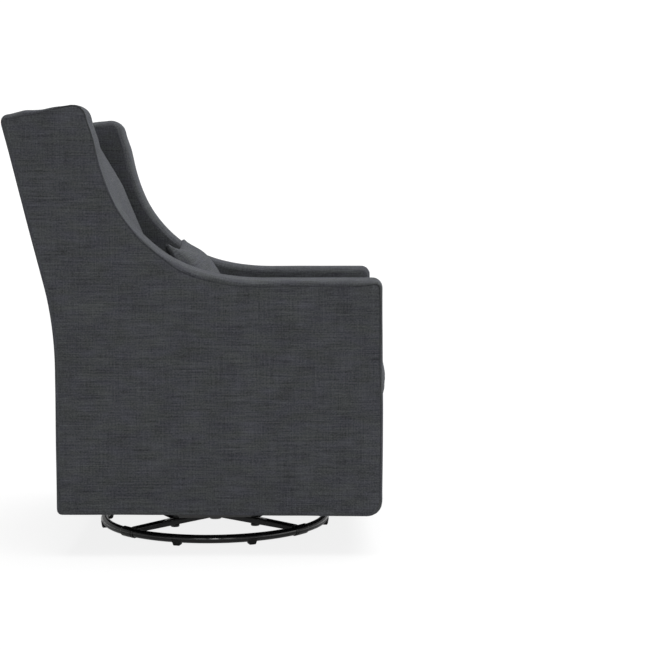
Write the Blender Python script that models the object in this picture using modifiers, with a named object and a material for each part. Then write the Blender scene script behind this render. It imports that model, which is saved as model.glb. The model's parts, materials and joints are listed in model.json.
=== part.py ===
"""Swivel glider armchair: an upholstered wing-back seat that hangs on four swinging
links from a turning carrier, over a round tube base.

Frame: metres, +Z up, the sitter faces -Y, X = 0 is the plane of symmetry, and the
origin is on the floor under the middle of the chair's outline.
"""

import math

import bmesh
import bpy
from mathutils import Matrix, Vector

# ---------------------------------------------------------------- driving dimensions
GAP = 0.0003  # clearance between touching pieces

# Upholstered body
HALF_WIDTH = 0.3935
ARM_THICKNESS = 0.110
INNER_X = HALF_WIDTH - ARM_THICKNESS
BODY_FRONT_Y = -0.418
BODY_REAR_Y = 0.3265
BODY_BOTTOM_Z = 0.0937  # at the front
LOWER_EDGE_RISE = 0.004  # the underside is this much higher at the rear
ARM_TOP_Z = 0.638
CASING_EDGE_RADIUS = 0.008
BACK_BEND_Z = 0.430  # the back is upright below this height
BACK_BEND_RADIUS = 0.820
BACK_RAKE = math.radians(13.9)
WING_TOP_REAR_Z = 1.0095
WING_TOP_SLOPE = 0.145  # the wing's top falls this much per metre towards the rear
LOWER_FRONT_RADIUS = 0.032
LOWER_REAR_RADIUS = 0.010
WING_REAR_RADIUS = 0.016
WING_FRONT_RADIUS = 0.030
ARM_FRONT_RADIUS = 0.025
OUTSIDE_BACK_THICKNESS = 0.028
OUTSIDE_BACK_TOP_Z = 0.994
PAD_TOP_Z = 1.018
PAD_TOP_Y = 0.338
PAD_FRONT_RADIUS = 0.030
PAD_REAR_RADIUS = 0.010

# The crest from the arm up to the wing: points with the heading of the edge there
CREST = (
    ((-0.150, 0.638), 0.0),
    ((0.072, 0.690), 32.0),
    ((0.186, 0.811), 62.0),
    ((0.2402, 0.985), 77.0),
)

# The face that the sitter leans on, above the deck: Y and Z
LEANING_FACE = ((0.112, 0.450), (0.150, 0.600), (0.189, 0.720), (0.245, 0.856), (0.300, 0.950))
LEANING_FOOT_Y = 0.104

# Seat frame
RAIL_TOP_Z = 0.285
RAIL_THICKNESS = 0.025
FRONT_COVER_Y = -0.414
FRONT_COVER_THICKNESS = 0.012
FRONT_RAIL_Y = FRONT_COVER_Y + FRONT_COVER_THICKNESS + GAP
REAR_RAIL_Y = 0.272
RAIL_BOTTOM_Z = 0.0975
SIDE_RAIL_BOTTOM_Z = 0.235
SPRING_WIRE = 0.004
SPRING_PITCH = 0.075
SPRING_SWING = 0.022
SPRING_COUNT = 4
SPRING_END_INSET = 0.006  # from the rails' outer faces
SPRING_CLEARANCE = 0.0004
DECK_BOTTOM_Z = RAIL_TOP_Z + 2 * SPRING_CLEARANCE + SPRING_WIRE + GAP
DECK_TOP_Z = 0.319
DUST_COVER_THICKNESS = 0.0015
DUST_COVER_Z = 0.0955
OPENING_HALF_X = 0.185  # the dust cover's opening
OPENING_SPARE_Y = 0.060

# Loose cushions
CUSHION_TOP_Z = 0.478
CUSHION_FRONT_Y = -0.4415
CUSHION_REAR_Y = 0.094
CUSHION_SIDE_SPARE = 0.003
CUSHION_EDGE_RADIUS = 0.030
PILLOW_SIZE = (0.500, 0.130, 0.250)  # width, thickness, height
PILLOW_RIM = 0.012  # thickness along the pillow's edge
PILLOW_CENTRE = Vector((0.0, 0.030, 0.603))
PILLOW_LEAN = math.radians(27.0)

# Base ring
AXIS_Y = -0.012  # the swivel's upright axis
BASE_TURN = math.radians(2.7)  # how far the base stands turned against the seat
RING_RADIUS = 0.279
RING_TUBE = 0.019
RING_Z = 0.0165
SOCKET_TUBE = 0.0234
SOCKET_HALF_ANGLE = math.radians(5.5)
ARM_ANGLE = math.radians(43.4)  # between an arm and the nearer of front and rear
ARM_SIZE = (0.022, 0.018)  # width, height
ARM_BOTTOM_Z = 0.0145
ARM_TOP_FACE_Z = ARM_BOTTOM_Z + ARM_SIZE[1]
HUB_RADIUS = 0.0295
SIDE_FOOT_OFFSET = math.radians(18.4)
END_FOOT_OFFSET = math.radians(11.0)  # on the front and rear tubes
TUBE_END_CLEARANCE = 0.0006
FOOT_TOP_LENGTH = 0.026
FOOT_BOTTOM_LENGTH = 0.015
FOOT_WIDTH = 0.022
FOOT_TAPER = 0.8
SADDLE_CLEARANCE = 0.0002
BOLT_CIRCLE = 0.137
BOLT_RADIUS = 0.004
NUT_RADIUS = 0.011
NUT_BOTTOM_Z = 0.0085
NUT_CHAMFER = 0.0015
BOLT_HEAD_RADIUS = 0.009
BOLT_HEAD_HEIGHT = 0.0028
BOLT_HEAD_CHAMFER = 0.002

# Swivel
PAN_BOTTOM_HALF = 0.111
PAN_TOP_HALF = 0.128
PAN_Z = ARM_TOP_FACE_Z + GAP
PAN_HEIGHT = 0.012
PAN_WALL = 0.0025
RACE_INNER = 0.050
RACE_OUTER = 0.080
RACE_HEIGHT = 0.0042
CAGE_INNER = 0.060
CAGE_OUTER = 0.070
CAGE_HEIGHT = 0.0036
KING_BOLT_RADIUS = 0.008
KING_HEAD_RADIUS = 0.016
KING_HEAD_HEIGHT = 0.006
KING_HEAD_CHAMFER = 0.002
CARRIER_HALF_X = 0.1495
CARRIER_HALF_Y = 0.120
PLATE_THICKNESS = 0.004
PLATE_CORNER_RADIUS = 0.004
UPRIGHT_TOP_RADIUS = 0.020

# Glide linkage
LINK_SPACING = 0.200  # front pivots to rear pivots
UPPER_PIVOT_Z = 0.232
LINK_LENGTH = 0.110
LOWER_PIVOT_Z = UPPER_PIVOT_Z - LINK_LENGTH
LINK_END_RADIUS = 0.014
PLATE_MARGIN = 0.017  # from a pivot to the edge of the plate that carries it
LINK_HOLE_RADIUS = 0.0063
PIN_RADIUS = 0.006
PIN_FLANGE_RADIUS = 0.009
PIN_HEAD = 0.0026
UPRIGHT_X = CARRIER_HALF_X + GAP  # inner face of the upright plate
LINK_X = 0.158  # inner face of the link
LINK_THICKNESS = 0.005
HANGER_X = 0.168  # inner face of the hanger plate
HANGER_HALF_Y = 0.125
HANGER_TOP_Z = 0.283
HANGER_LOWER_RADIUS = 0.015
HANGER_BOLT_Y = 0.090
HANGER_BOLT_Z = 0.266
HANGER_BOLT_RADIUS = 0.003
HANGER_BOLT_HEAD = 0.007
HANGER_BOLT_HEAD_HEIGHT = 0.004
SIDE_RAIL_X = HANGER_X + PLATE_THICKNESS + GAP

AXIS = Vector((0.0, AXIS_Y, 0.0))
CUTTER_TOP_Z = 0.1  # round cutters for the base's holes reach from the floor to here


# ---------------------------------------------------------------- scene and materials
def start():
    """Empty the scene and return the collection for the parts and the one for the cutters."""
    for old in list(bpy.data.objects):
        bpy.data.objects.remove(old, do_unlink=True)
    parts = bpy.data.collections.new("swivel_glider")
    cutters = bpy.data.collections.new("cutters")
    for collection in (parts, cutters):
        bpy.context.scene.collection.children.link(collection)
    return parts, cutters


PARTS, CUTTERS = start()


def make_material(name, colour, roughness, metallic=0.0):
    made = bpy.data.materials.new(name)
    made.use_nodes = True
    shader = made.node_tree.nodes["Principled BSDF"]
    shader.inputs["Base Color"].default_value = (*colour, 1.0)
    shader.inputs["Roughness"].default_value = roughness
    shader.inputs["Metallic"].default_value = metallic
    made.diffuse_color = (*colour, 1.0)
    return made


LINEN = make_material("linen", (0.085, 0.088, 0.096), 0.90)
LINING = make_material("lining", (0.015, 0.015, 0.016), 0.95)
BLACK_STEEL = make_material("black_steel", (0.012, 0.012, 0.013), 0.30, 0.4)
ZINC_STEEL = make_material("zinc_steel", (0.55, 0.56, 0.58), 0.35, 1.0)
TIMBER = make_material("timber", (0.62, 0.44, 0.26), 0.60)
NYLON = make_material("nylon", (0.012, 0.012, 0.012), 0.50)


# ---------------------------------------------------------------- modelling helpers
def place(name, data, material, location=(0, 0, 0), rotation=(0, 0, 0)):
    made = bpy.data.objects.new(name, data)
    if not data.materials:
        data.materials.append(material)
    made.location = location
    made.rotation_euler = rotation
    PARTS.objects.link(made)
    return made


def as_cutter(made):
    """Turn an object into a cutter: it is drawn as wire and isn't part of the chair."""
    PARTS.objects.unlink(made)
    CUTTERS.objects.link(made)
    made.hide_render = True
    made.display_type = "WIRE"
    return made


def boolean(made, cutter, operation="DIFFERENCE"):
    cut = made.modifiers.new(operation.lower(), "BOOLEAN")
    cut.object = cutter
    cut.operation = operation


def soften(mesh):
    mesh.shade_smooth()
    mesh.set_sharp_from_angle(angle=math.radians(35))


def baked(made):
    """The object's finished mesh in world coordinates, welded and shaded; the object is removed."""
    finished = made.evaluated_get(bpy.context.evaluated_depsgraph_get())
    mesh = bpy.data.meshes.new_from_object(finished)
    mesh.transform(finished.matrix_world)
    shape = bmesh.new()
    shape.from_mesh(mesh)
    bmesh.ops.remove_doubles(shape, verts=shape.verts, dist=0.00001)
    shape.to_mesh(mesh)
    shape.free()
    soften(mesh)
    bpy.data.objects.remove(made, do_unlink=True)
    return mesh


def box(name, low, high, material, edge=0.0, segments=2):
    """A block between two corners, with its edges rounded to the radius edge."""
    mesh = bpy.data.meshes.new(name)
    shape = bmesh.new()
    bmesh.ops.create_cube(shape, size=1.0)
    size = Vector(high) - Vector(low)
    bmesh.ops.scale(shape, vec=size, verts=shape.verts)
    shape.to_mesh(mesh)
    shape.free()
    made = place(name, mesh, material, (Vector(low) + Vector(high)) / 2)
    if edge:
        rounding = made.modifiers.new("rounding", "BEVEL")
        rounding.width = edge
        rounding.segments = segments
    return made


def turned(name, profile, material, location, steps=24, across=False, closed=False):
    """A profile of (radius, height) points, outer side top to bottom, turned about Z, or X if across."""
    mesh = bpy.data.meshes.new(name)
    count = len(profile)
    edges = [(i, i + 1) for i in range(count - 1)]
    if closed:
        edges.append((count - 1, 0))
    mesh.from_pydata([(radius, 0.0, height) for radius, height in profile], edges, [])
    made = place(name, mesh, material, location, (0.0, math.pi / 2 if across else 0.0, 0.0))
    screw = made.modifiers.new("turning", "SCREW")
    screw.steps = steps
    screw.render_steps = steps
    screw.use_merge_vertices = True
    screw.merge_threshold = 0.00001
    screw.use_smooth_shade = True
    return made


def tube(name, points, diameter, material, sides_resolution=4):
    """A round rod or tube along points, with closed ends."""
    curve = bpy.data.curves.new(name, "CURVE")
    curve.dimensions = "3D"
    curve.bevel_depth = diameter / 2
    curve.bevel_resolution = sides_resolution
    curve.use_fill_caps = True
    spline = curve.splines.new("POLY")
    spline.points.add(len(points) - 1)
    for target, point in zip(spline.points, points):
        target.co = (*point, 1.0)
    return place(name, curve, material)


def side_plate(name, outlines, inner_x, thickness, side, material, edge=0.0):
    """A flat plate cut in the YZ plane; the first outline is its rim and the others are its holes."""
    curve = bpy.data.curves.new(name, "CURVE")
    curve.dimensions = "2D"
    curve.fill_mode = "BOTH"
    curve.extrude = thickness / 2 - edge
    curve.bevel_depth = edge
    curve.bevel_resolution = 1
    curve.offset = -edge
    for outline in outlines:
        spline = curve.splines.new("POLY")
        spline.points.add(len(outline) - 1)
        for target, (y, z) in zip(spline.points, outline):
            target.co = (y, z, 0.0, 1.0)
        spline.use_cyclic_u = True
    made = place(name, curve, material)
    centre = Vector((side * (inner_x + thickness / 2), 0.0, 0.0))
    turn = Matrix(((0, 0, 1), (1, 0, 0), (0, 1, 0))).to_4x4()
    made.matrix_world = Matrix.Translation(centre) @ turn
    return made


def ring(name, inner, outer, bottom, height, material, steps=32):
    top = bottom + height
    profile = [(outer, top), (outer, bottom), (inner, bottom), (inner, top)]
    return turned(name, profile, material, AXIS, steps, closed=True)


def round_cutter(name, radius, location, steps):
    """A round upright cutter that starts at the floor."""
    profile = [(0.0, CUTTER_TOP_Z), (radius, CUTTER_TOP_Z), (radius, 0.0), (0.0, 0.0)]
    return as_cutter(turned(name, profile, BLACK_STEEL, location, steps))


# ---------------------------------------------------------------- outlines in the YZ plane
def circle(centre, radius, count=20):
    return [
        (
            centre[0] + radius * math.cos(2 * math.pi * i / count),
            centre[1] + radius * math.sin(2 * math.pi * i / count),
        )
        for i in range(count)
    ]


def rounded(corners, steps=4):
    """A closed outline from (y, z, radius) corners; a corner with no radius stays a point."""
    points = []
    for i, (y, z, radius) in enumerate(corners):
        here = Vector((y, z))
        if not radius:
            points.append((y, z))
            continue
        before = (Vector(corners[i - 1][:2]) - here).normalized()
        after = (Vector(corners[(i + 1) % len(corners)][:2]) - here).normalized()
        half = before.angle(after) / 2
        centre = here + (before + after).normalized() * radius / math.sin(half)
        start = here + before * radius / math.tan(half) - centre
        end = here + after * radius / math.tan(half) - centre
        turn = start.angle_signed(end)
        for k in range(steps + 1):
            spoke = start.copy()
            spoke.rotate(Matrix.Rotation(-turn * k / steps, 2))
            points.append(tuple(centre + spoke))
    return points


def rear_y(z):
    """The outside of the back at height z: upright, then an arc, then a straight rake."""
    rise = z - BACK_BEND_Z
    if rise <= 0:
        return BODY_REAR_Y
    bend_rise = BACK_BEND_RADIUS * math.sin(BACK_RAKE)
    if rise <= bend_rise:
        return BODY_REAR_Y + BACK_BEND_RADIUS * (1 - math.cos(math.asin(rise / BACK_BEND_RADIUS)))
    bend_y = BACK_BEND_RADIUS * (1 - math.cos(BACK_RAKE))
    return BODY_REAR_Y + bend_y + (rise - bend_rise) * math.tan(BACK_RAKE)


def rear_heights(low, high):
    """Heights at which the back's outside needs a point between low and high."""
    bend_top = BACK_BEND_Z + BACK_BEND_RADIUS * math.sin(BACK_RAKE)
    steps = 4
    arc = [BACK_BEND_Z + (bend_top - BACK_BEND_Z) * i / steps for i in range(steps + 1)]
    return [low] + [z for z in arc if low < z < high] + [high]


def heading(degrees):
    angle = math.radians(degrees)
    return Vector((math.cos(angle), math.sin(angle)))


def crest_points(steps=6):
    """Points up the crest, front to rear, as one smooth curve through CREST."""
    points = [CREST[0][0]]
    for (start, start_turn), (end, end_turn) in zip(CREST, CREST[1:]):
        start = Vector(start)
        end = Vector(end)
        reach = (end - start).length / 3
        first = start + reach * heading(start_turn)
        second = end - reach * heading(end_turn)
        for i in range(1, steps + 1):
            t = i / steps
            u = 1 - t
            point = u**3 * start + 3 * u * u * t * first + 3 * u * t * t * second + t**3 * end
            points.append(tuple(point))
    return points


def casing_outline():
    """The side of the chair: arm in front, wing behind."""
    top_rear = (rear_y(WING_TOP_REAR_Z), WING_TOP_REAR_Z)
    wing_foot, wing_heading = CREST[-1]
    along = heading(wing_heading)
    # the wing's front edge runs on until it meets the sloping top
    rise = top_rear[1] + WING_TOP_SLOPE * (top_rear[0] - wing_foot[0]) - wing_foot[1]
    reach = rise / (along.y + WING_TOP_SLOPE * along.x)
    top_front = Vector(wing_foot) + along * reach
    corners = [
        (BODY_FRONT_Y, BODY_BOTTOM_Z, LOWER_FRONT_RADIUS),
        (BODY_REAR_Y, BODY_BOTTOM_Z + LOWER_EDGE_RISE, LOWER_REAR_RADIUS),
    ]
    bend_top = BACK_BEND_Z + BACK_BEND_RADIUS * math.sin(BACK_RAKE)
    corners += [(rear_y(z), z, 0) for z in rear_heights(BACK_BEND_Z, bend_top)]
    corners += [(*top_rear, WING_REAR_RADIUS), (*top_front, WING_FRONT_RADIUS)]
    corners += [(y, z, 0) for y, z in reversed(crest_points()[1:])]
    corners += [(*CREST[0][0], 0), (BODY_FRONT_Y, ARM_TOP_Z, ARM_FRONT_RADIUS)]
    return rounded(corners)


# ---------------------------------------------------------------- base
def arm_angles():
    """Polar angles of the arms: front left, rear left, rear right, front right."""
    angles = (ARM_ANGLE, math.pi - ARM_ANGLE, math.pi + ARM_ANGLE, 2 * math.pi - ARM_ANGLE)
    return [angle + BASE_TURN for angle in angles]


def polar(radius, angle, z=0.0):
    """A point at an angle about the swivel axis; angle 0 is to the front."""
    return AXIS + Vector((radius * math.sin(angle), -radius * math.cos(angle), z))


def arc(radius, start, end, count, z):
    return [polar(radius, start + (end - start) * i / (count - 1), z) for i in range(count)]


def build_ring_tubes():
    """Four bent tubes that meet inside the sockets."""
    names = ("left", "rear", "right", "front")
    spare = TUBE_END_CLEARANCE / RING_RADIUS
    starts = arm_angles()
    ends = [*starts[1:], starts[0] + 2 * math.pi]
    for name, start, end in zip(names, starts, ends):
        points = arc(RING_RADIUS, start + spare, end - spare, 19, RING_Z)
        tube(f"ring_tube_{name}", points, RING_TUBE, BLACK_STEEL, 3)


def base_arm_mesh():
    """An arm pointing to the front from the axis, welded to the socket that joins two ring tubes."""
    socket_points = arc(RING_RADIUS, -SOCKET_HALF_ANGLE, SOCKET_HALF_ANGLE, 7, RING_Z)
    bore_points = arc(RING_RADIUS, -1.3 * SOCKET_HALF_ANGLE, 1.3 * SOCKET_HALF_ANGLE, 9, RING_Z)
    socket = tube("socket", socket_points, SOCKET_TUBE, BLACK_STEEL, 3)
    socket = place("socket_solid", baked(socket), BLACK_STEEL)
    bore = tube("bore", bore_points, RING_TUBE + 4 * GAP, BLACK_STEEL, 3)
    bore = as_cutter(place("bore_solid", baked(bore), BLACK_STEEL))
    half_width = ARM_SIZE[0] / 2
    low = (-half_width, AXIS_Y - RING_RADIUS, ARM_BOTTOM_Z)
    high = (half_width, AXIS_Y - HUB_RADIUS - 2 * GAP, ARM_TOP_FACE_Z)
    arm = box("arm", low, high, BLACK_STEEL)
    hole = round_cutter("bolt_hole", BOLT_RADIUS + GAP, polar(BOLT_CIRCLE, 0.0), 16)
    boolean(arm, as_cutter(socket), "UNION")
    boolean(arm, bore)
    boolean(arm, hole)
    return baked(arm)


def build_base_arms():
    mesh = base_arm_mesh()
    names = ("front_left", "rear_left", "rear_right", "front_right")
    for name, angle in zip(names, arm_angles()):
        turn = Matrix.Translation(AXIS) @ Matrix.Rotation(angle, 4, "Z")
        made = place(f"base_arm_{name}", mesh, BLACK_STEEL)
        made.matrix_world = turn @ Matrix.Translation(-AXIS)


def foot_mesh():
    """A tapered glide under the front of the ring, with a saddle for the tube."""
    low = (-FOOT_TOP_LENGTH / 2, AXIS_Y - RING_RADIUS - FOOT_WIDTH / 2, 0.0)
    high = (FOOT_TOP_LENGTH / 2, AXIS_Y - RING_RADIUS + FOOT_WIDTH / 2, RING_Z)
    foot = box("foot", low, high, NYLON)
    for corner in foot.data.vertices:
        if corner.co.z < 0:
            corner.co.x *= FOOT_BOTTOM_LENGTH / FOOT_TOP_LENGTH
            corner.co.y *= FOOT_TAPER
    saddle_y = AXIS_Y - RING_RADIUS + SADDLE_CLEARANCE
    saddle_points = [
        Vector((-FOOT_TOP_LENGTH, saddle_y, RING_Z)),
        Vector((FOOT_TOP_LENGTH, saddle_y, RING_Z)),
    ]
    saddle = tube("saddle", saddle_points, RING_TUBE + 5 * GAP, NYLON, 3)
    saddle = as_cutter(place("saddle_solid", baked(saddle), NYLON))
    boolean(foot, saddle)
    return baked(foot)


def build_feet():
    mesh = foot_mesh()
    number = 1
    for quarter in range(4):
        offset = SIDE_FOOT_OFFSET if quarter % 2 else END_FOOT_OFFSET
        for side in (-1, 1):
            angle = quarter * math.pi / 2 + side * offset + BASE_TURN
            made = place(f"glide_foot_{number}", mesh, NYLON)
            turn = Matrix.Translation(AXIS) @ Matrix.Rotation(angle, 4, "Z")
            made.matrix_world = turn @ Matrix.Translation(-AXIS)
            number += 1


def build_hub():
    ring("hub_boss", KING_BOLT_RADIUS + GAP, HUB_RADIUS, ARM_BOTTOM_Z, ARM_SIZE[1], BLACK_STEEL)


def bolt_places():
    return [polar(BOLT_CIRCLE, angle) for angle in arm_angles()]


def build_pan():
    """The square pressed plate under the bearing: sloping walls, open at the top."""
    mesh = bpy.data.meshes.new("swivel_pan")
    shape = bmesh.new()
    bmesh.ops.create_cube(shape, size=1.0)
    for corner in shape.verts:
        half = PAN_TOP_HALF if corner.co.z > 0 else PAN_BOTTOM_HALF
        corner.co.x = math.copysign(half, corner.co.x)
        corner.co.y = math.copysign(half, corner.co.y)
        corner.co.z = PAN_HEIGHT if corner.co.z > 0 else 0.0
    lid = [face for face in shape.faces if face.normal.z > 0.9]
    bmesh.ops.delete(shape, geom=lid, context="FACES")
    shape.to_mesh(mesh)
    shape.free()
    pan = place("swivel_pan", mesh, BLACK_STEEL, AXIS + Vector((0, 0, PAN_Z)), (0, 0, BASE_TURN))
    wall = pan.modifiers.new("wall", "SOLIDIFY")
    wall.thickness = PAN_WALL
    wall.offset = -1.0
    wall.use_even_offset = True
    hole_radii = [(AXIS, KING_BOLT_RADIUS + GAP)]
    hole_radii += [(centre, BOLT_RADIUS + GAP) for centre in bolt_places()]
    for i, (centre, radius) in enumerate(hole_radii):
        boolean(pan, round_cutter(f"pan_hole_{i}", radius, centre, 16))


def build_arm_bolts():
    """Carriage bolts: a flat round head in the pan, a shank through the arm and a nut below it."""
    head_bottom = PAN_Z + PAN_WALL + GAP
    head_top = head_bottom + BOLT_HEAD_HEIGHT
    nut_top = ARM_BOTTOM_Z - GAP
    profile = [
        (0.0, head_top),
        (BOLT_HEAD_RADIUS - BOLT_HEAD_CHAMFER, head_top),
        (BOLT_HEAD_RADIUS, head_bottom),
        (BOLT_RADIUS, head_bottom),
        (BOLT_RADIUS, nut_top),
        (NUT_RADIUS, nut_top),
        (NUT_RADIUS, NUT_BOTTOM_Z + NUT_CHAMFER),
        (NUT_RADIUS - NUT_CHAMFER, NUT_BOTTOM_Z),
        (0.0, NUT_BOTTOM_Z),
    ]
    for i, centre in enumerate(bolt_places()):
        turned(f"arm_bolt_{i + 1}", profile, BLACK_STEEL, centre, 16)


# ---------------------------------------------------------------- swivel carrier
def build_bearing():
    """Lower race, ball cage and upper race, one on another; returns the top of the stack."""
    z = PAN_Z + PAN_WALL + GAP
    ring("bearing_lower_race", RACE_INNER, RACE_OUTER, z, RACE_HEIGHT, ZINC_STEEL)
    z += RACE_HEIGHT + GAP
    ring("bearing_ball_cage", CAGE_INNER, CAGE_OUTER, z, CAGE_HEIGHT, ZINC_STEEL)
    z += CAGE_HEIGHT + GAP
    ring("bearing_upper_race", RACE_INNER, RACE_OUTER, z, RACE_HEIGHT, ZINC_STEEL)
    return z + RACE_HEIGHT


def build_king_bolt(plate_top):
    """The bolt that holds the carrier down: head under the hub, collar over the carrier plate."""
    collar_bottom = plate_top + GAP
    collar_top = collar_bottom + KING_HEAD_HEIGHT
    head_top = ARM_BOTTOM_Z - GAP
    head_bottom = head_top - KING_HEAD_HEIGHT
    rim = KING_HEAD_RADIUS - KING_HEAD_CHAMFER
    profile = [
        (0.0, collar_top),
        (rim, collar_top),
        (KING_HEAD_RADIUS, collar_top - KING_HEAD_CHAMFER),
        (KING_HEAD_RADIUS, collar_bottom),
        (KING_BOLT_RADIUS, collar_bottom),
        (KING_BOLT_RADIUS, head_top),
        (KING_HEAD_RADIUS, head_top),
        (KING_HEAD_RADIUS, head_bottom + KING_HEAD_CHAMFER),
        (rim, head_bottom),
        (0.0, head_bottom),
    ]
    turned("king_bolt", profile, ZINC_STEEL, AXIS, 24)


def build_carrier(race_top):
    """The carrier plate on the bearing and the two upright plates at its sides."""
    plate_bottom = race_top + GAP
    plate_top = plate_bottom + PLATE_THICKNESS
    low = (-CARRIER_HALF_X, AXIS_Y - CARRIER_HALF_Y, plate_bottom)
    high = (CARRIER_HALF_X, AXIS_Y + CARRIER_HALF_Y, plate_top)
    plate = box("carrier_plate", low, high, BLACK_STEEL)
    boolean(plate, round_cutter("plate_hole", KING_BOLT_RADIUS + GAP, AXIS, 24))
    top = UPPER_PIVOT_Z + PLATE_MARGIN
    outline = rounded(
        [
            (AXIS_Y - CARRIER_HALF_Y, plate_bottom, PLATE_CORNER_RADIUS),
            (AXIS_Y + CARRIER_HALF_Y, plate_bottom, PLATE_CORNER_RADIUS),
            (AXIS_Y + CARRIER_HALF_Y, top, UPRIGHT_TOP_RADIUS),
            (AXIS_Y - CARRIER_HALF_Y, top, UPRIGHT_TOP_RADIUS),
        ]
    )
    for name, side in (("left", 1), ("right", -1)):
        side_plate(f"upright_{name}", [outline], UPRIGHT_X, PLATE_THICKNESS, side, BLACK_STEEL)
    return plate_top


# ---------------------------------------------------------------- glide linkage
def link_ends():
    """The four links: name, side of the chair and the Y of their pivots."""
    for row, y in (("front", AXIS_Y - LINK_SPACING / 2), ("rear", AXIS_Y + LINK_SPACING / 2)):
        for name, side in (("left", 1), ("right", -1)):
            yield f"{row}_{name}", side, y


def link_outline(y):
    """Two half circles round the pivots, joined by straight sides."""
    steps = 10
    points = []
    for centre_z, start in ((UPPER_PIVOT_Z, 0.0), (LOWER_PIVOT_Z, math.pi)):
        for i in range(steps + 1):
            angle = start + math.pi * i / steps
            across = LINK_END_RADIUS * math.cos(angle)
            up = LINK_END_RADIUS * math.sin(angle)
            points.append((y + across, centre_z + up))
    return points


def pin(name, z, y, side, stations, material):
    """A shouldered pin across the chair; stations are (distance from X = 0, radius) from the outside in."""
    profile = [(0.0, stations[0][0])]
    for outer, inner in zip(stations, stations[1:]):
        profile += [(outer[1], outer[0]), (outer[1], inner[0])]
    profile.append((0.0, stations[-1][0]))
    if side < 0:
        profile = [(radius, -x) for radius, x in reversed(profile)]
    return turned(name, profile, material, (0.0, y, z), 14, across=True)


def build_linkage():
    link_end = LINK_X + LINK_THICKNESS
    for name, side, y in link_ends():
        holes = [circle((y, z), LINK_HOLE_RADIUS) for z in (UPPER_PIVOT_Z, LOWER_PIVOT_Z)]
        side_plate(f"link_{name}", [link_outline(y), *holes], LINK_X, LINK_THICKNESS, side, BLACK_STEEL)
        upright_face = UPRIGHT_X + PLATE_THICKNESS + GAP
        upper = [
            (link_end + GAP + PIN_HEAD, PIN_FLANGE_RADIUS),
            (link_end + GAP, PIN_RADIUS),
            (LINK_X - GAP, PIN_FLANGE_RADIUS),
            (upright_face, 0.0),
        ]
        pin(f"upper_pin_{name}", UPPER_PIVOT_Z, y, side, upper, ZINC_STEEL)


def hanger_bolt_places():
    return [(AXIS_Y + sign * HANGER_BOLT_Y, HANGER_BOLT_Z) for sign in (-1, 1)]


def build_hangers():
    """Steel plates under the seat, bolted to the side rails, with the lower pivots' studs welded on."""
    outline = rounded(
        [
            (AXIS_Y - HANGER_HALF_Y, LOWER_PIVOT_Z - PLATE_MARGIN, HANGER_LOWER_RADIUS),
            (AXIS_Y + HANGER_HALF_Y, LOWER_PIVOT_Z - PLATE_MARGIN, HANGER_LOWER_RADIUS),
            (AXIS_Y + HANGER_HALF_Y, HANGER_TOP_Z, PLATE_CORNER_RADIUS),
            (AXIS_Y - HANGER_HALF_Y, HANGER_TOP_Z, PLATE_CORNER_RADIUS),
        ]
    )
    holes = [circle(place_at, HANGER_BOLT_RADIUS + GAP, 12) for place_at in hanger_bolt_places()]
    bolt = [
        (SIDE_RAIL_X + RAIL_THICKNESS, HANGER_BOLT_RADIUS),
        (HANGER_X - GAP, HANGER_BOLT_HEAD),
        (HANGER_X - GAP - HANGER_BOLT_HEAD_HEIGHT, 0.0),
    ]
    stud = [
        (HANGER_X + PLATE_THICKNESS / 2, PIN_FLANGE_RADIUS),
        (LINK_X + LINK_THICKNESS + GAP, PIN_RADIUS),
        (LINK_X - GAP, PIN_FLANGE_RADIUS),
        (LINK_X - GAP - PIN_HEAD, 0.0),
    ]
    for name, side in (("left", 1), ("right", -1)):
        flat = side_plate("plate", [outline, *holes], HANGER_X, PLATE_THICKNESS, side, BLACK_STEEL)
        hanger = place(f"hanger_{name}", baked(flat), BLACK_STEEL)
        for y in (AXIS_Y - LINK_SPACING / 2, AXIS_Y + LINK_SPACING / 2):
            boolean(hanger, as_cutter(pin("stud", LOWER_PIVOT_Z, y, side, stud, BLACK_STEEL)), "UNION")
        for row, (y, z) in zip(("front", "rear"), hanger_bolt_places()):
            pin(f"hanger_bolt_{row}_{name}", z, y, side, bolt, ZINC_STEEL)


# ---------------------------------------------------------------- seat frame
def build_rails():
    inner = INNER_X - GAP
    box(
        "seat_rail_front",
        (-inner, FRONT_RAIL_Y, RAIL_BOTTOM_Z),
        (inner, FRONT_RAIL_Y + RAIL_THICKNESS, RAIL_TOP_Z),
        TIMBER,
    )
    box(
        "seat_rail_rear",
        (-inner, REAR_RAIL_Y, RAIL_BOTTOM_Z),
        (inner, REAR_RAIL_Y + RAIL_THICKNESS, RAIL_TOP_Z),
        TIMBER,
    )
    front = FRONT_RAIL_Y + RAIL_THICKNESS + GAP
    rear = REAR_RAIL_Y - GAP
    bottom = SIDE_RAIL_BOTTOM_Z
    outline = [(front, bottom), (rear, bottom), (rear, RAIL_TOP_Z), (front, RAIL_TOP_Z)]
    holes = [circle(place_at, HANGER_BOLT_RADIUS + GAP, 12) for place_at in hanger_bolt_places()]
    for name, side in (("left", 1), ("right", -1)):
        side_plate(f"seat_rail_{name}", [outline, *holes], SIDE_RAIL_X, RAIL_THICKNESS, side, TIMBER)


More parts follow.
